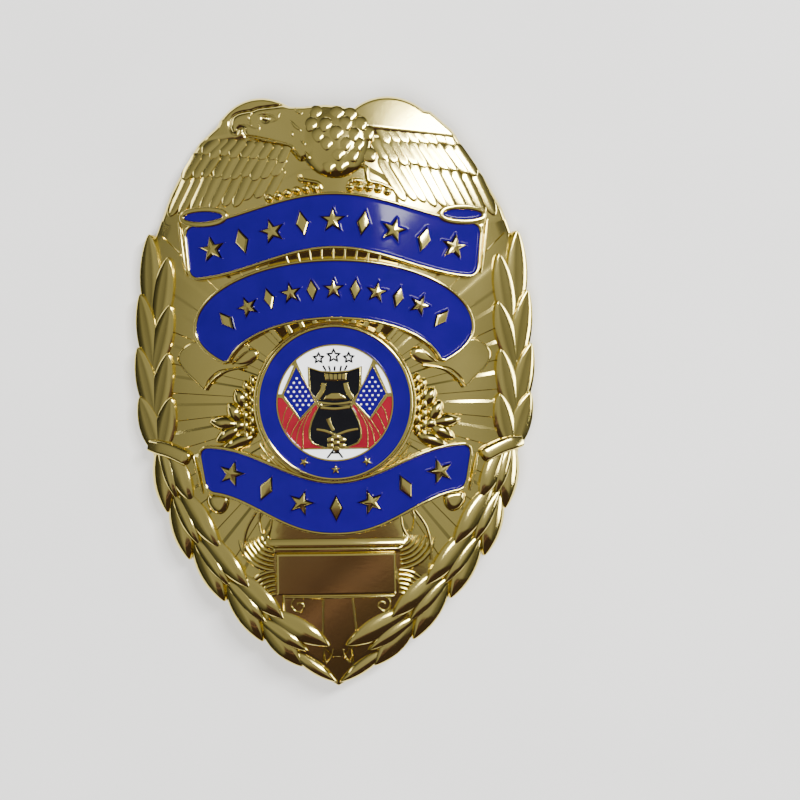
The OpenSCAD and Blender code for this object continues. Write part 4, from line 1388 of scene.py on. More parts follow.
        loop = self.loop(shell, ribbons)
        shop.put(plate_object("eagle_crest", [loop], 0.13, top, over_face(-0.5), (0.1, 0.2)))
        feather = BladeForm(feather_half, 0, 0.08, -0.02, roundness=3.0, arch=0.12, foot=0.6, rows=12,
                            columns=8)
        for side, word, tiers, uneven in ((-1, "left", self.left_tiers, 1.3),
                                          (1, "right", self.right_tiers, 0.8)):
            stands = [s for seed, tier in enumerate(tiers) for s in tier.stands(side, seed, uneven)]
            shop.scatter(f"{word}_wing_feathers", feather, stands)
        scale = BladeForm(scale_half, 0, 0.18, roundness=2.0, arch=0.45, foot=0.5, rows=10, columns=10)
        shop.scatter("breast_scales", scale, self.scales())
        toe = BladeForm(round_form, 0.2, 0.85, arch=0.5, foot=0.3, rows=10, columns=8)
        shop.scatter("eagle_toes", toe, [bead(x, y, 1.3, 0.1) for x, y in self.toes], 60)
        paths = [Path(smooth_path(line, 6), swell=(0.7, 1, 0.9, 0.7)) for line in self.legs]
        shop.sweep("eagle_legs", paths, 0.8, -0.2, 0.75, 0.38)
        lines = [Path(smooth_path(line, 8), swell=(0.35 * s, s, s, 0.35 * s)) for line, s in self.head_lines]
        shop.sweep("head_lines", lines, 0.3, self.head_h - 0.12, self.head_h + 0.1, 0.11)

    def scales(self) -> list[Stand]:
        """Where the breast's overlapping scales stand, in uneven rows."""
        out = []
        rng = np.random.default_rng(7)
        cx, cy, a, b, _ = self.breast
        for row in range(self.scale_rows):
            for col in range(-3, 4):
                x = cx + self.scale_pitch[0] * (col + (0.5 if row % 2 else 0)) + rng.uniform(-0.3, 0.3)
                y = 40.0 - self.scale_pitch[1] * row + rng.uniform(-0.2, 0.2)
                if ((x - cx) / a) ** 2 + ((y - 1.1 - cy) / b) ** 2 > 0.88 or x + 0.5 * (y - 36) < -2.2:
                    continue
                heading = -90 + 6 * (x - cx) + rng.uniform(-14, 14)
                out.append(Stand((x, y), heading, (2.3, 2), float(self.breast_height(x, y - 1)) + 0.16, 4))
        return out


# Foliage, tails and rolls beside the seal


@dataclass
class Foliage:
    """Sprays beside the seal, the middle ribbon's tails and the lower ribbon's rolls."""

    leaves: tuple[tuple[Point, Point], ...] = (((13.3, -4.3), (14.9, -1.5)), ((13.6, -4.6), (17.7, -4.1)),
                                               ((13.4, -5), (16.8, -6.9)), ((11.4, -6.2), (15.8, -7.9)),
                                               ((12.6, -2.2), (13.9, 0.4)))
    leaf_w: float = 2.1
    flower: Point = (13.4, -4.7)
    grain_x: tuple[float, float] = (11.25, 12.15)
    grain_y: tuple[float, float] = (2.4, -5.6)
    grain: tuple[float, float] = (1.85, 1.05)
    tail: Corners = ((13.4, 7.4), (16.5, 5), (19, 7.2), (21.2, 6.6), (22.3, 5), (21.4, 3.2), (19.8, 1.6),
                     (18.5, 0.4), (17.7, 1.7), (16.2, 2.9), (14.4, 3.2), (12.4, 3.6), (11.2, 4.6))
    bulb: Corners = ((14.4, 4), (13.2, 3.6), (11.6, 3.9), (10.6, 5), (11, 6), (12.3, 6.1), (13.6, 5.2))
    roll: Corners = ((15.1, -14.9), (16.4, -14.3), (18, -14.4), (18.3, -15.6), (17.4, -16.9), (16.2, -17.2),
                     (15.3, -16.4))
    lines: tuple[tuple[Corners, int, tuple[float, ...]], ...] = (
        (((12.4, 3.5), (14.9, 3.1), (16.6, 2.2), (17.6, 1.2), (18.2, 0.4)), 8, (0.8, 0.9, 0.8, 0.9, 1.1)),
        (((14.4, 4), (13.2, 5), (12.2, 5.7)), 6, (0.9, 0.8, 0.4)),
        (((17.5, -15), (16.6, -14.9), (16.1, -15.7), (16.6, -16.4), (17.2, -16)), 6, (0.9, 0.9, 0.7)))

    def grains(self, side: int) -> list[Stand]:
        """Stands of the plump grains in a double row beside the seal, with one in the flower."""
        out = [bead(side * self.flower[0], self.flower[1], 1.7, 0.15)]
        length, width = self.grain
        for column, x in enumerate(self.grain_x):
            for y in np.arange(self.grain_y[0] - 0.7 * column, self.grain_y[1], -1.4).tolist():
                bow = 0.1 * math.sin(math.pi * (y + 5.6) / 8)
                ends = ((x + bow, y - length), (x + bow + 0.35, y))
                out.append(blade(*mirrored(ends, side), width, 0.1, 3))
        return out

    def build(self, shop: Workshop) -> None:
        """Builds the sprays, tails and rolls."""
        leaf = BladeForm(blunt_leaf, 0.2, 0.9, roundness=2.0, arch=0.6, foot=0.5, rows=14, columns=10)
        stands = [blade(*mirrored(ends, side), self.leaf_w, 0.1, 2) for side in SIDES for ends in self.leaves]
        shop.scatter("spray_leaves", leaf, stands)
        grain = BladeForm(round_form, 0.2, 0.72, arch=0.5, foot=0.4, rows=10, columns=8)
        shop.scatter("spray_grains", grain, [stand for side in SIDES for stand in self.grains(side)], 60)
        parts, lines = [], []
        for side in SIDES:
            for outline, height, radius, step in ((self.tail, 0.36, 0.22, 0.4), (self.bulb, 0.5, 0.9, 0.3),
                                                  (self.roll, 0.85, 0.8, 0.3)):
                parts.append(self.swelling(mirrored(outline, side), height, radius, step))
            lines += [Path(smooth_path(mirrored(line, side), steps), swell=swell)
                      for line, steps, swell in self.lines]
        shop.put_all("ribbon_tails", parts)
        shop.sweep("tail_lines", lines, 0.4, 0.1, 0.66, 0.18)

    def swelling(self, outline: Sequence[Point], height: float, radius: float, step: float) -> Object:
        """Low form with a rounded edge, inside a smooth outline.

        Args:
            outline: Points that its outline passes through.
            height: Its height over the face.
            radius: Rounding of its edge.
            step: Spacing of its mesh's points.
        Returns:
            The form.
        """
        loop = closed(smooth_path(outline, 6, ring=True), step)
        top = over_face(lambda d: height * round_up(d, radius) - 0.05)
        return plate_object("swelling", [loop], step, top, over_face(-0.3), (0.08, 0.18, 0.3))


# The lower panel


@dataclass
class LowerPanel:
    """The pedestal, its moulding, the bare number plate, drapery, volutes and the field below."""

    upper_fan: Point = (8.75, -20.1)
    lower_fan: Point = (8.6, -30.1)
    fold_pitch: float = 0.64
    mouldings: tuple[tuple[float, ...], ...] = ((-20.6, 10.1, 1.05, 0.42), (-21.75, 9.3, 0.55, 0.6))
    volutes: tuple[Point, Point] = ((-5.4, -30.2), (6.4, -30.2))
    plates: tuple[tuple[Corners, float, float], ...] = (
        (((-9, -16), (9, -16), (9.3, -18.8), (9.7, -20.7), (9, -22.9), (-9, -22.9), (-9.7, -20.7),
          (-9.3, -18.8)), 0.35, 0.3),
        (((-8.55, -22.75), (8.3, -22.75), (8.3, -28.7), (-8.55, -28.7)), 0.72, 0.16),
        (((-7.9, -28.5), (7.8, -28.5), (7.4, -32), (2.4, -35), (0.9, -37.6), (-0.9, -37.6), (-2.8, -35.1),
          (-7.6, -32.2)), 0.26, 0.3))
    lines: tuple[Corners, ...] = (
        ((-9, -17.4), (-9.3, -19.3), (-10.1, -20.8)), ((9, -17.4), (9.3, -19.3), (10.1, -20.8)),
        ((-7.4, -28.95), (0, -29.05), (8, -28.95)), ((-2, -29.3), (-2.1, -34.2)),
        ((2.15, -29.3), (2.7, -34.4)), ((2.4, -34.9), (4.6, -33.3), (7.6, -32.3)),
        ((-2.8, -34.9), (-4.9, -33.6), (-7.7, -32.4)),
        ((-11.3, -16.9), (-12.6, -19.2), (-13.1, -21.4), (-13, -23.4)),
        ((11.1, -17), (12.6, -19.2), (13.2, -21.6), (13.3, -24)),
        ((-10.6, -16.6), (-10.9, -18.2), (-10.6, -19.9)), ((10.6, -16.6), (11, -18.2), (10.7, -19.9)))
    hook: Corners = ((0.7, -36.4), (1, -37.6), (1.7, -38.3), (1.9, -37.4))

    def folds(self, side: int) -> list[Path]:
        """Curved folds of the drapery on one side: two fans of arcs that meet beside the number plate."""
        out = []
        for centre, turn, count, start, last_deg in ((self.upper_fan, -1, 7, 0, 8),
                                                     (self.lower_fan, 1, 6, 0.6, 20)):
            for k in range(count):
                a = np.radians(np.linspace(88, last_deg, 16)) * turn
                out.append(Path(arc(centre, 1.2 + self.fold_pitch * (k + start), a) * (side, 1),
                                swell=(0.75, 1.05, 1, 0.5)))
        return out

    def spiral(self, side: int) -> Path:
        """Volute below a lower corner of the number plate."""
        t = np.linspace(0, 1, 60)
        a = np.radians(90 - side * 430 * t)
        return Path(arc(self.volutes[side > 0], 1.25 * (1 - t) + 0.25 * t, a), swell=(0.8, 1, 1, 0.9))

    def moulding(self, high: float, half: float, wide: float, slope: float) -> Object:
        """One bar of the moulding, with ends that curl up.

        Args:
            high: Where its upper edge lies along the badge.
            half: Half its length.
            wide: Its width.
            slope: Rise for each millimetre down the badge.
        Returns:
            The bar.
        """
        def top(x: Array, y: Array, d: Array) -> Array:
            """Height of the bar."""
            return FACE.z(x, y) - 0.1 + (0.5 + slope * np.maximum(high - y, -0.2)) * round_up(d, 0.13)

        right = [(half - 0.7, high), (half - 0.35, high + 0.9), (half, high + 1.1), (half, high - 0.4 * wide),
                 (half - 0.6, high - wide)]
        loop = closed([*right, *reversed(mirrored(right, -1))], 0.3)
        return plate_object("bar", [loop], 0.6, top, over_face(-0.4), (0.05, 0.1, 0.16))

    def build(self, shop: Workshop) -> None:
        """Builds the panel."""
        parts = []
        for corners, height, radius in self.plates:
            top = over_face(lambda d, h=height, r=radius: (h + 0.1) * round_up(d, r) - 0.1)
            parts.append(plate_object("flat", [closed(corners, 0.4)], 0.8, top, over_face(-0.4),
                                      (0.05, 0.12, 0.22, 0.4)))
        shop.put_all("panel_plates", parts)
        shop.put_all("panel_moulding", [self.moulding(*sizes) for sizes in self.mouldings])
        shop.sweep("panel_lines", [Path(smooth_path(line, 10)) for line in self.lines], 0.34, 0, 0.46, 0.15)
        shop.sweep("panel_drapery", [p for side in SIDES for p in self.folds(side)], 0.72, -0.25, 0.36, 0.32)
        curls = [self.spiral(side) for side in SIDES]
        curls += [Path(smooth_path(mirrored(self.hook, side), 8), swell=(0.7, 0.9, 0.6)) for side in SIDES]
        shop.sweep("panel_volutes", curls, 0.26, 0, 0.42, 0.1)


# The seal


@dataclass
class Seal:
    """The round seal: a gold disc with cells of blue, white, red and black enamel."""

    centre: Point = (0, -1.65)
    top: float = 8.349
    r: float = 10.95
    ring: tuple[float, float] = (8.2, 10.5)
    ring_star_deg: tuple[float, float, float] = (-118, -90, -62)
    picture_r: float = 7.95
    thick: float = 1.1
    fill_drop: float = 0.1
    floor_drop: float = 0.35
    dome_drop: float = 0.15
    base_y: float = -6.4
    yoke: Corners = ((-3.6, 4.9), (-1.9, 4.35), (0, 4.2), (1.9, 4.35), (3.6, 4.9), (3.5, 3), (3.4, 1.5),
                     (2.4, 0.2), (2.2, -0.3), (-2.2, -0.3), (-2.4, 0.2), (-3.4, 1.5), (-3.5, 3))
    bell: Corners = ((-2.2, -0.4), (2.2, -0.4), (2.75, -1.5), (3.25, -2.6), (3.55, -3.8), (3.55, -4.9),
                     (3.1, -5.6), (2.2, -6), (1.2, -6.3), (-1.2, -6.3), (-2.2, -6), (-3.1, -5.6),
                     (-3.55, -4.9), (-3.55, -3.8), (-3.25, -2.6), (-2.75, -1.5))
    canton: Corners = ((5.35, 5.1), (7.2, 1.2), (4.9, -2.2), (2.75, 0.1), (3.55, 1.9))
    stripes: Corners = ((7.35, 0.75), (9, 0.9), (9, -6.3), (1.7, -6.3), (2.4, -6.05), (3.25, -5.7),
                        (3.72, -4.9), (3.72, -3.8), (3.42, -2.55), (2.9, -1.4), (2.4, -0.7), (2.6, -0.2),
                        (4.88, -2.5))
    wedge: Corners = ((5.7, 5.2), (9, 5.2), (9, 1.35), (7.42, 1.3))
    sky: Corners = ((-5.2, 5.6), (-6, 9), (6, 9), (5.2, 5.6), (3.75, 2.2), (3.85, 5.1), (1.95, 4.5),
                    (0, 4.38), (-1.95, 4.5), (-3.75, 5.1), (-3.7, 2.2))
    seat: Corners = ((0.05, 6.6), (0.05, 7.5), (0.13, 7.62), (0.3, 7.64), (0.42, 7.54), (0.5, 7.2),
                     (0.5, 6.6))
    stripe_bends: tuple[Corners, ...] = (
        ((3.2, -0.9), (4.4, -3.4), (4.5, -6.4)), ((4, -1.7), (5.1, -3.8), (5.5, -5.75)),
        ((5, -2.4), (5.85, -3.8), (6.3, -4.85)), ((5.75, -1.4), (6.45, -2.6), (6.9, -3.9)),
        ((6.5, -0.4), (7, -1.3), (7.35, -2.8)))
    side_band: Corners = ((1.5, 2.75), (1.75, 1.7), (2.45, 0.55))
    bands: tuple[tuple[Corners, int, tuple[float, ...]], ...] = (
        (((-2.3, 0.05), (0, -0.2), (2.35, 0.05)), 5, (0.6, 0.55, 0.55, 0.6)),
        (((-2, -0.65), (0, -0.85), (2.1, -0.6)), 5, (0.75, 0.6, 0.6, 0.75)),
        (((-2.6, -3.7), (-1.2, -4), (0.9, -4.9)), 5, (0.5, 0.62, 0.5)),
        (((3.2, -3.7), (1.6, -4), (-0.5, -4.8)), 5, (0.5, 0.62, 0.5)),
        (((-1, -2.2), (-0.75, -2.9), (-0.3, -3.9)), 4, (0.9, 0.7, 0.55)))
    crown: Corners = ((-1.45, 4.15), (0, 4.05), (1.7, 4.15), (1.6, 3.1), (0.1, 3), (-1.35, 3.1))
    bust: Corners = ((-1.65, 0.42), (-1.25, 1), (-0.5, 1.4), (0.6, 1.4), (1.35, 1), (1.7, 0.42), (0, 0.3))
    knob: tuple[float, float, float] = (-2.05, -0.35, 0.34)
    flower: Point = (0.15, -5.65)
    sky_stars: tuple[tuple[float, ...], ...] = ((-2.2, 6.25, 0.8), (-0.1, 6.55, 0.98), (2, 6.25, 0.8))
    black_strokes: tuple[Corners, ...] = (
        ((-0.2, -6.5), (-1.15, -7.7)), ((0.15, -6.5), (1, -7.7)), ((-0.6, -7), (0.5, -7)),
        ((-1.2, 4.5), (-1.6, 5.2)), ((-0.6, 4.45), (-0.8, 5.15)), ((0, 4.45), (0.05, 5.1)),
        ((0.8, 4.45), (0.95, 5.15)), ((1.4, 4.5), (1.75, 5.2)))

    def at(self, points: Iterable[Point]) -> list[Point]:
        """Points about the seal's centre in the badge's frame."""
        return [(x + self.centre[0], y + self.centre[1]) for x, y in points]

    def level(self, drop: float) -> Height:
        """Height function of a level some way under the seal's top."""
        return lambda x, y, d: np.full(len(x), self.top - drop)

    def clipped(self, corners: Sequence[Point]) -> Loop:
        """Outline about the seal's centre, with what passes the picture's circle drawn back onto it."""
        loop = closed(corners, 0.12)
        far = np.linalg.norm(loop, axis=1)
        scale = np.where(far > self.picture_r, self.picture_r / np.maximum(far, 1e-9), 1)
        return loop * scale[:, None] + np.array(self.centre)

    def cells(self) -> list[tuple[str, Slot, list[Loop]]]:
        """Name, slot and outlines of each cell's fill."""
        base = [(-9, self.base_y - 0.1), (9, self.base_y - 0.1), (9, -10), (-9, -10)]
        rims = [circle(self.centre, r, 144) for r in reversed(self.ring)]
        out = [("seal_ring", Slot.BLUE, [*rims, *self.ring_stars()])]
        for name, slot, corners in (("seal_sky", Slot.WHITE, self.sky), ("seal_base", Slot.WHITE, base),
                                    ("yoke", Slot.BLACK, self.yoke), ("bell", Slot.BLACK, self.bell)):
            out.append((name, slot, [self.clipped(corners)]))
        for side, word in zip(SIDES, ("left", "right")):
            for name, slot, corners in (("canton", Slot.BLUE, self.canton),
                                        ("stripes", Slot.RED, self.stripes),
                                        ("wedge", Slot.WHITE, self.wedge)):
                out.append((f"{word}_{name}", slot, [self.clipped(mirrored(corners, side))]))
        return out

    def ring_stars(self) -> list[Loop]:
        """Outlines of the three stars in the blue ring."""
        middles = arc(self.centre, sum(self.ring) / 2, np.radians(self.ring_star_deg)).tolist()
        return [closed(set_down(star_corners(0.78), at, a + 90), 0.2)
                for at, a in zip(middles, self.ring_star_deg)]

    def build(self, shop: Workshop) -> None:
        """Builds the disc, its seat, its fills and its drawing."""
        r, inner, outer, picture, z = self.r, *self.ring, self.picture_r, self.top
        floor, foot = z - self.floor_drop, z - self.thick
        disc = [(0, foot), (r - 0.1, foot), (r, foot + 0.1), (r, z - 0.2), (r - 0.05, z - 0.08),
                (r - 0.16, z), (outer + 0.12, z), (outer + 0.03, z - 0.04), (outer, z - 0.12), (outer, floor),
                (inner, floor), (inner, z - 0.1), (inner - 0.04, z - 0.03), (picture + 0.04, z - 0.03),
                (picture, z - 0.1), (picture, floor), (0, floor)]
        shop.put(lathe_object("seal_disc_gold", disc, self.centre), "seal_disc")
        shop.put(lathe_object("seal_seat", [(r + out, up) for out, up in self.seat], self.centre))
        grooves = []
        for far, low_deg, high_deg in ((12, -152, -28), (12.75, -146, -34), (13.4, -140, -40)):
            a = np.radians(np.linspace(low_deg, high_deg, 72))
            grooves.append(Path(arc(self.centre, far, a), swell=(0.4, 1, 1, 1, 0.4)))
        shop.sweep("seal_mouldings", grooves, 0.66, -0.2, 0.5, 0.3)

        def fill(x: Array, y: Array, d: Array) -> Array:
            """Height of the enamel, which rises a little to its edges."""
            return z - self.fill_drop - 0.02 + 0.07 * np.exp(-d / 0.1)

        for name, slot, loops in self.cells():
            colour = slot.name.lower()
            piece = plate_object(f"{name}_{colour}", loops, 0.4, fill, self.level(self.floor_drop + 0.05),
                                 (0.05, 0.12, 0.22))
            shop.put(piece, f"{name}_enamel", slot=slot)
        self.gold_drawing(shop)
        self.black_drawing(shop)
        shop.scatter("canton_dots", BladeForm(round_form, 0, 0.13, arch=0.5, foot=0.1, rows=8, columns=6),
                     self.dots(), 60, Slot.WHITE)

    def path(self, points: Sequence[Point], steps: int = 1, swell: Sequence[float] = (1, 1)) -> Path:
        """Path on the seal's top through points about its centre."""
        return Path(smooth_path(self.at(points), steps), False, swell, self.top)

    def loop_path(self, points: Sequence[Point]) -> Path:
        """Closed path on the seal's top along straight sides about its centre."""
        return Path(closed(self.at(points), 0.5), True, flat_z=self.top)

    def gold_drawing(self, shop: Workshop) -> None:
        """Draws the gold lines and bands, and builds the gold ornaments."""
        lines = [self.path(mirrored(line, side), 8) for side in SIDES for line in self.stripe_bends]
        shop.sweep("stripe_lines", lines, 0.13, -0.3, -0.02, 0.04)
        walls = [self.path(line) for line in (self.yoke[:9], self.yoke[9:] + self.yoke[:1],
                                              self.bell[1:] + self.bell[:1])]
        for side in SIDES:
            walls.append(self.loop_path(mirrored(self.canton, side)))
            walls.append(self.path(mirrored([(5.3, 5.2), (4.5, 3.5), (3.65, 2)], side)))
            walls.append(self.path([(side * 3.8, self.base_y), (side * 4.8, self.base_y)]))
        shop.sweep("seal_walls", walls, 0.17, -0.3, -0.005, 0.06)
        bands = [self.path(mirrored(self.side_band, side), 5, (0.95, 1, 1, 0.95)) for side in SIDES]
        bands += [self.path(*band) for band in self.bands]
        shop.sweep("bell_bands", bands, 0.76, -0.34, -0.005, 0.13)

        def cap(x: Array, y: Array, d: Array) -> Array:
            """Height of an ornament with a rounded edge."""
            return self.top - 0.12 + 0.115 * round_up(d, 0.3)

        knob = closed(circle(self.knob[:2], self.knob[2], 16), 0.3)
        foot = self.level(0.3)
        parts = [plate_object("ornament", [closed(self.at(shape), 0.2)], 0.22, cap, foot, (0.05, 0.12, 0.2))
                 for shape in (self.crown, self.bust, knob)]
        parts += [plate_object("ornament", [loop], 0.3, cap, foot, (0.05, 0.1)) for loop in self.ring_stars()]
        shop.put_all("seal_ornaments", parts)
        x, y = self.flower
        petals = [(x + 0.98 * math.cos(t), y + 0.8 * math.sin(t)) for t in np.radians(np.arange(90, 450, 60))]
        petal = BladeForm(round_form, 0, 0.14, foot=0.1, rows=6, columns=6)
        shop.scatter("bell_flower", petal, [self.dome(*at, 1.04) for at in (*petals, self.flower)], 60)

    def black_drawing(self, shop: Workshop) -> None:
        """Draws the black stars, strokes and ribs."""
        black = [self.loop_path(set_down(star_corners(r), (x, y), 0)) for x, y, r in self.sky_stars]
        black += [self.path(line) for line in self.black_strokes]
        shop.sweep("seal_black_lines", black, 0.26, -0.25, -0.03, 0.06, Slot.BLACK)
        ribs = [self.path([(x, 4.12), (0.92 * x, 3.2)]) for x in (-0.8, -0.2, 0.45, 1.05)]
        shop.sweep("crown_ribs", ribs, 0.16, -0.25, 0, 0.03, Slot.BLACK)

    def dome(self, x: float, y: float, across: float) -> Stand:
        """Stand of a small dome on the seal's top, about a place from its centre."""
        flat = bead(x + self.centre[0], y + self.centre[1], across, 0)
        return replace(flat, lift=self.top - self.dome_drop - float(FACE.z(*flat.at)))

    def dots(self) -> list[Stand]:
        """Where small domes stand in staggered rows on both cantons."""
        places = []
        for row in range(11):
            for col in range(7):
                p = (2.8 + 0.8 * col + (0.4 if row % 2 else 0), 4.7 - 0.62 * row)
                if depth_inside(np.array([p]), [np.array(self.canton)])[0] > 0.3:
                    places.append(p)
        return [self.dome(side * x, y, 0.34) for side in SIDES for x, y in places]


# The brooch pin


@dataclass
class BroochPin:
    """The pin on the back: soldered pads, a hinge and a catch, and a stem that ends in a point."""

    hinge_y: float = -15.0
    catch_y: float = 18.0
    stem_r: float = 0.45
    stem_z: float = 0.75
    stem_profile: Corners = ((0, 0.9), (0.01, 1), (0.9, 1), (0.95, 0.75), (0.98, 0.4), (1, 0.08))
    past_catch: float = 1.3
    rivet_r: float = 0.42
    rivet_rise: float = 0.35
    rivet_profile: Corners = ((-1.45, 0.8), (-1.38, 1), (-1.2, 1), (1.2, 1), (1.38, 1), (1.45, 0.8))
    pad_r: float = 2.8
    pad_t: float = 0.8
    pad_drop: float = 1.0
    cheek_outer: float = 1.2
    cheek_inner: tuple[float, float] = (0.55, 0.5)

    def build(self, shop: Workshop) -> None:
        """Builds the pads with their blocks, and the stem with its rivet."""
        z1 = FACE.crown - FACE.wall - self.pad_drop
        z0, r = z1 - self.pad_t, self.pad_r
        pad = [(0, z0), (r - 0.2, z0), (r - 0.06, z0 + 0.06), (r, z0 + 0.2), (r, z1), (0, z1)]
        boss = [(0, z1), (r + 0.45, z1), (r + 0.6, z1 + 0.15), (r + 0.6, z1 + 1.5), (0, z1 + 1.5)]
        parts = []
        for y, inner in zip((self.hinge_y, self.catch_y), self.cheek_inner):
            parts += [lathe_object("mount", profile, (0, y), 64) for profile in (pad, boss)]
            parts += [self.cheek(*sorted((side * inner, side * self.cheek_outer)), y, z0) for side in SIDES]
        shop.put_all("pin_mounts", parts, slot=Slot.STEEL)
        length = self.catch_y + self.past_catch - self.hinge_y
        stem = [[(x, self.hinge_y + length * s, z) for x, z in circle((0, self.stem_z), self.stem_r * k, 24)]
                for s, k in self.stem_profile]
        rivet_at = (self.hinge_y, self.stem_z + self.rivet_rise)
        rivet = [[(x, y, z) for y, z in circle(rivet_at, self.rivet_r * k, 20)]
                 for x, k in self.rivet_profile]
        shop.put_all("pin_stem", [rod_object("stem", stem), rod_object("rivet", rivet)], "pin_clasp",
                     slot=Slot.STEEL)

    def cheek(self, lo: float, hi: float, y: float, z_top: float) -> Object:
        """One upright cheek of the hinge or the catch, rounded at its foot."""
        right = [(0.5, 0.3), (1.1, 0.55), (1.45, 1.2), (1.5, z_top + 0.1)]
        outline = [*reversed(mirrored(right, -1)), *right]
        return rod_object("cheek", [[(x, y + a, b) for a, b in outline] for x in (lo, hi)])


# The studio


@dataclass(frozen=True)
class Lamp:
    """A soft area light that faces the badge: where it hangs, its size, power and turn from level."""

    name: str
    at: tuple[float, float, float]
    size: tuple[float, float]
    power: float
    turn_deg: float = 0.0
    mirrored_too: bool = True

    def hang(self) -> None:
        """Hangs the lamp."""
        data = bpy.data.lights.new(self.name, "AREA")
        data.shape = "RECTANGLE"
        data.size, data.size_y = self.size
        data.energy = self.power
        obj = linked(self.name, data)
        obj.location = self.at
        away = Vector(self.at).normalized()
        across = (Vector((1, 0, 0)) - away * away.x).normalized()
        level = Matrix((across, away.cross(across), away)).transposed()
        obj.rotation_euler = (level @ Matrix.Rotation(math.radians(self.turn_deg), 3, "Z")).to_euler()
        obj.visible_glossy = self.mirrored_too


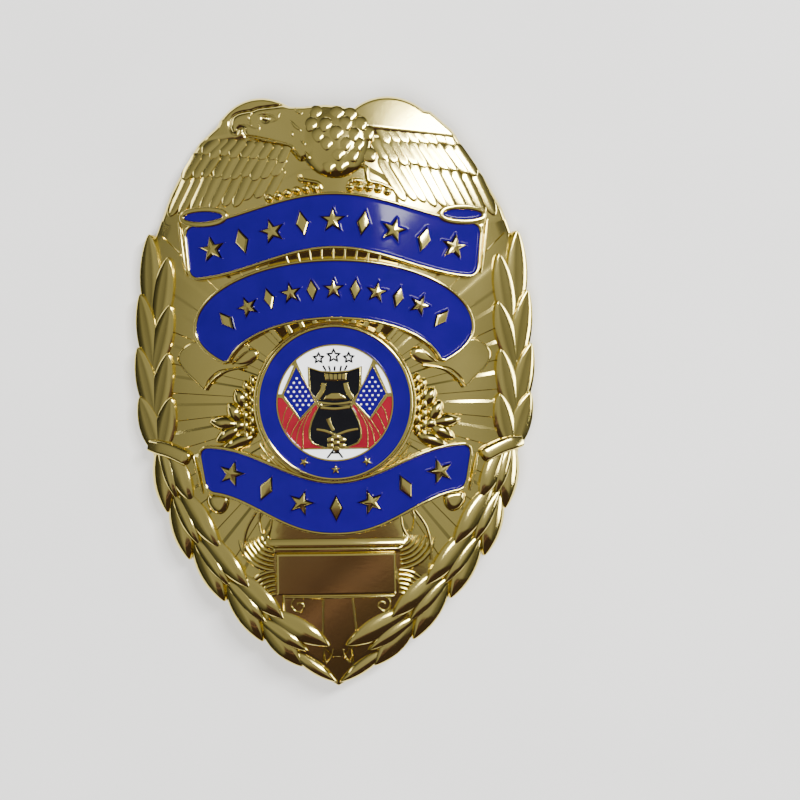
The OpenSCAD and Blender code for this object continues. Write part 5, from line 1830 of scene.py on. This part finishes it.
@dataclass
class Studio:
    """Pale floor, soft light and the camera at the photograph's viewing angle."""

    image_px: float = 800.0
    px_per_mm: float = 7.1
    badge_px: Point = (335, 391)
    lens: float = 85.0
    sensor: float = 36.0
    lean: Point = (-0.02, 0)
    roll_deg: float = 0.7
    target_z: float = 6.0
    floor_half: float = 3.0
    floor_z: float = -0.0002
    sky_ends: tuple[tuple, tuple] = ((0, (0.03, 0.03, 0.03, 1)), (1, (0.36, 0.36, 0.355, 1)))
    sky_stops: Corners = ((0.25, 0.035), (0.5, 0.10), (0.72, 0.27), (0.85, 0.395))
    card_ends: tuple[tuple, tuple] = ((0.12, (0.14, 0.095, 0.12, 1)), (1, (0.05, 0.032, 0.04, 1)))
    card_stops: Corners = ((0.36, 0.13), (0.44, 0.03), (0.5, 0.03), (0.57, 0.4), (0.6, 0.34), (0.65, 0.09),
                           (0.85, 0.06))
    lamps: tuple[Lamp, ...] = (
        Lamp("upper_right_softbox", (0.282, 0.256, 0.563), (0.332, 0.093), 5.9, 26.5),
        Lamp("ray_strip", (0.33, 0.29, 0.41), (0.05, 0.12), 0.8),
        Lamp("right_strip", (0.57, 0.1, 0.14), (0.1, 0.4), 2.2),
        Lamp("left_strip", (-0.46, 0.3, 0.18), (0.06, 0.3), 0.3),
        Lamp("fill", (-0.2, -0.3, 0.8), (0.6, 0.6), 12, mirrored_too=False))

    def floor(self) -> None:
        """Lays a pale floor, faintly mottled."""
        mesh = bpy.data.meshes.new("floor")
        s, z = self.floor_half, self.floor_z
        mesh.from_pydata([(-s, -s, z), (s, -s, z), (s, s, z), (-s, s, z)], [], [(0, 1, 2, 3)])
        obj = linked("floor", mesh)
        dress(obj, FLOOR.material())

    def world(self) -> None:
        """Surrounds the badge with light that falls off low down, and a dark warm card beyond its foot."""
        world = bpy.data.worlds.new("studio")
        bpy.context.scene.world = world
        world.use_nodes = True
        nodes, links = world.node_tree.nodes, world.node_tree.links

        def shades(ends: Sequence, stops: Sequence[Point], tint: tuple[float, float]) -> bpy.types.Node:
            """Colour ramp between two ends, with tinted stops."""
            made = nodes.new("ShaderNodeValToRGB")
            elements = made.color_ramp.elements
            for element, (at, color) in zip(elements, ends):
                element.position, element.color = at, color
            for at, v in stops:
                elements.new(at).color = (v, tint[0] * v, tint[1] * v, 1)
            return made

        def sum_of(operation: str, a: object, b: object, clamp: bool = False) -> Socket:
            """Output of a node that reckons with two sockets or numbers."""
            made = nodes.new("ShaderNodeMath")
            made.operation, made.use_clamp = operation, clamp
            for value, socket in zip((a, b), made.inputs):
                if isinstance(value, Socket):
                    links.new(value, socket)
                else:
                    socket.default_value = value
            return made.outputs["Value"]

        way = nodes.new("ShaderNodeTexCoord")
        split = nodes.new("ShaderNodeSeparateXYZ")
        links.new(way.outputs["Generated"], split.inputs["Vector"])
        x = split.outputs["X"]
        sky = shades(self.sky_ends, self.sky_stops, (1, 0.98))
        links.new(split.outputs["Z"], sky.inputs["Fac"])
        down = sum_of("MULTIPLY", split.outputs["Y"], -1)
        beyond = sum_of("SUBTRACT", down, 0.2)
        near = sum_of("MULTIPLY", sum_of("SUBTRACT", down, 0.128), 22, True)
        reach = sum_of("ADD", sum_of("MULTIPLY", beyond, 1.5), 0.33)
        off = sum_of("ABSOLUTE", sum_of("SUBTRACT", x, sum_of("MULTIPLY", beyond, 0.9)), 0)
        inside = sum_of("MULTIPLY", sum_of("SUBTRACT", reach, off), 14, True)
        slant = sum_of("MULTIPLY", sum_of("SUBTRACT", down, 0.27), 4.2)
        sheen = shades(self.card_ends, self.card_stops, (0.6, 0.78))
        links.new(sum_of("ADD", sum_of("ADD", x, slant), 0.5), sheen.inputs["Fac"])
        card = nodes.new("ShaderNodeMix")
        card.data_type = "RGBA"
        links.new(sky.outputs["Color"], card.inputs["A"])
        links.new(sheen.outputs["Color"], card.inputs["B"])
        links.new(sum_of("MULTIPLY", near, inside, True), card.inputs["Factor"])
        links.new(card.outputs["Result"], nodes["Background"].inputs["Color"])

    def camera(self) -> None:
        """Stands the camera over the badge, as the photograph was taken."""
        data = bpy.data.cameras.new("camera")
        data.lens, data.sensor_width = self.lens, self.sensor
        data.clip_start, data.clip_end = 0.01, 20.0
        obj = linked("camera", data)
        bpy.context.scene.camera = obj
        half = self.image_px / 2
        dx, dy = (half - self.badge_px[0]) / self.px_per_mm, (self.badge_px[1] - half) / self.px_per_mm
        roll = math.radians(self.roll_deg)
        c, s = math.cos(roll), math.sin(roll)
        target = Vector((dx * c + dy * s, -dx * s + dy * c, self.target_z)) * MM
        distance = self.image_px / self.px_per_mm * MM * self.lens / self.sensor
        back = Vector((*self.lean, 1)).normalized()
        obj.location = target + back * distance
        obj.rotation_mode = "QUATERNION"
        look = (-back).to_track_quat("-Z", "Y").to_matrix()
        turn = math.atan2(look.col[0].y, look.col[0].x)
        obj.rotation_quaternion = (look @ Matrix.Rotation(-turn - roll, 3, "Z")).to_quaternion()

    def build(self) -> None:
        """Sets the stage."""
        self.floor()
        self.world()
        for lamp in self.lamps:
            lamp.hang()
        self.camera()


def main() -> None:
    """Builds the badge, its finishes and the studio."""
    logging.basicConfig(level=logging.INFO, format="%(name)s %(message)s")
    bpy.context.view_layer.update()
    shop = Workshop()
    shell, ribbons = StruckShell(), Ribbons()
    shell.build(shop)
    LaurelWreath().build(shop)
    ribbons.build(shop)
    Eagle().build(shop, shell, ribbons)
    for part in (Foliage(), LowerPanel(), Seal(), BroochPin()):
        part.build(shop)
    Studio().build()


if __name__ == "__main__":
    main()
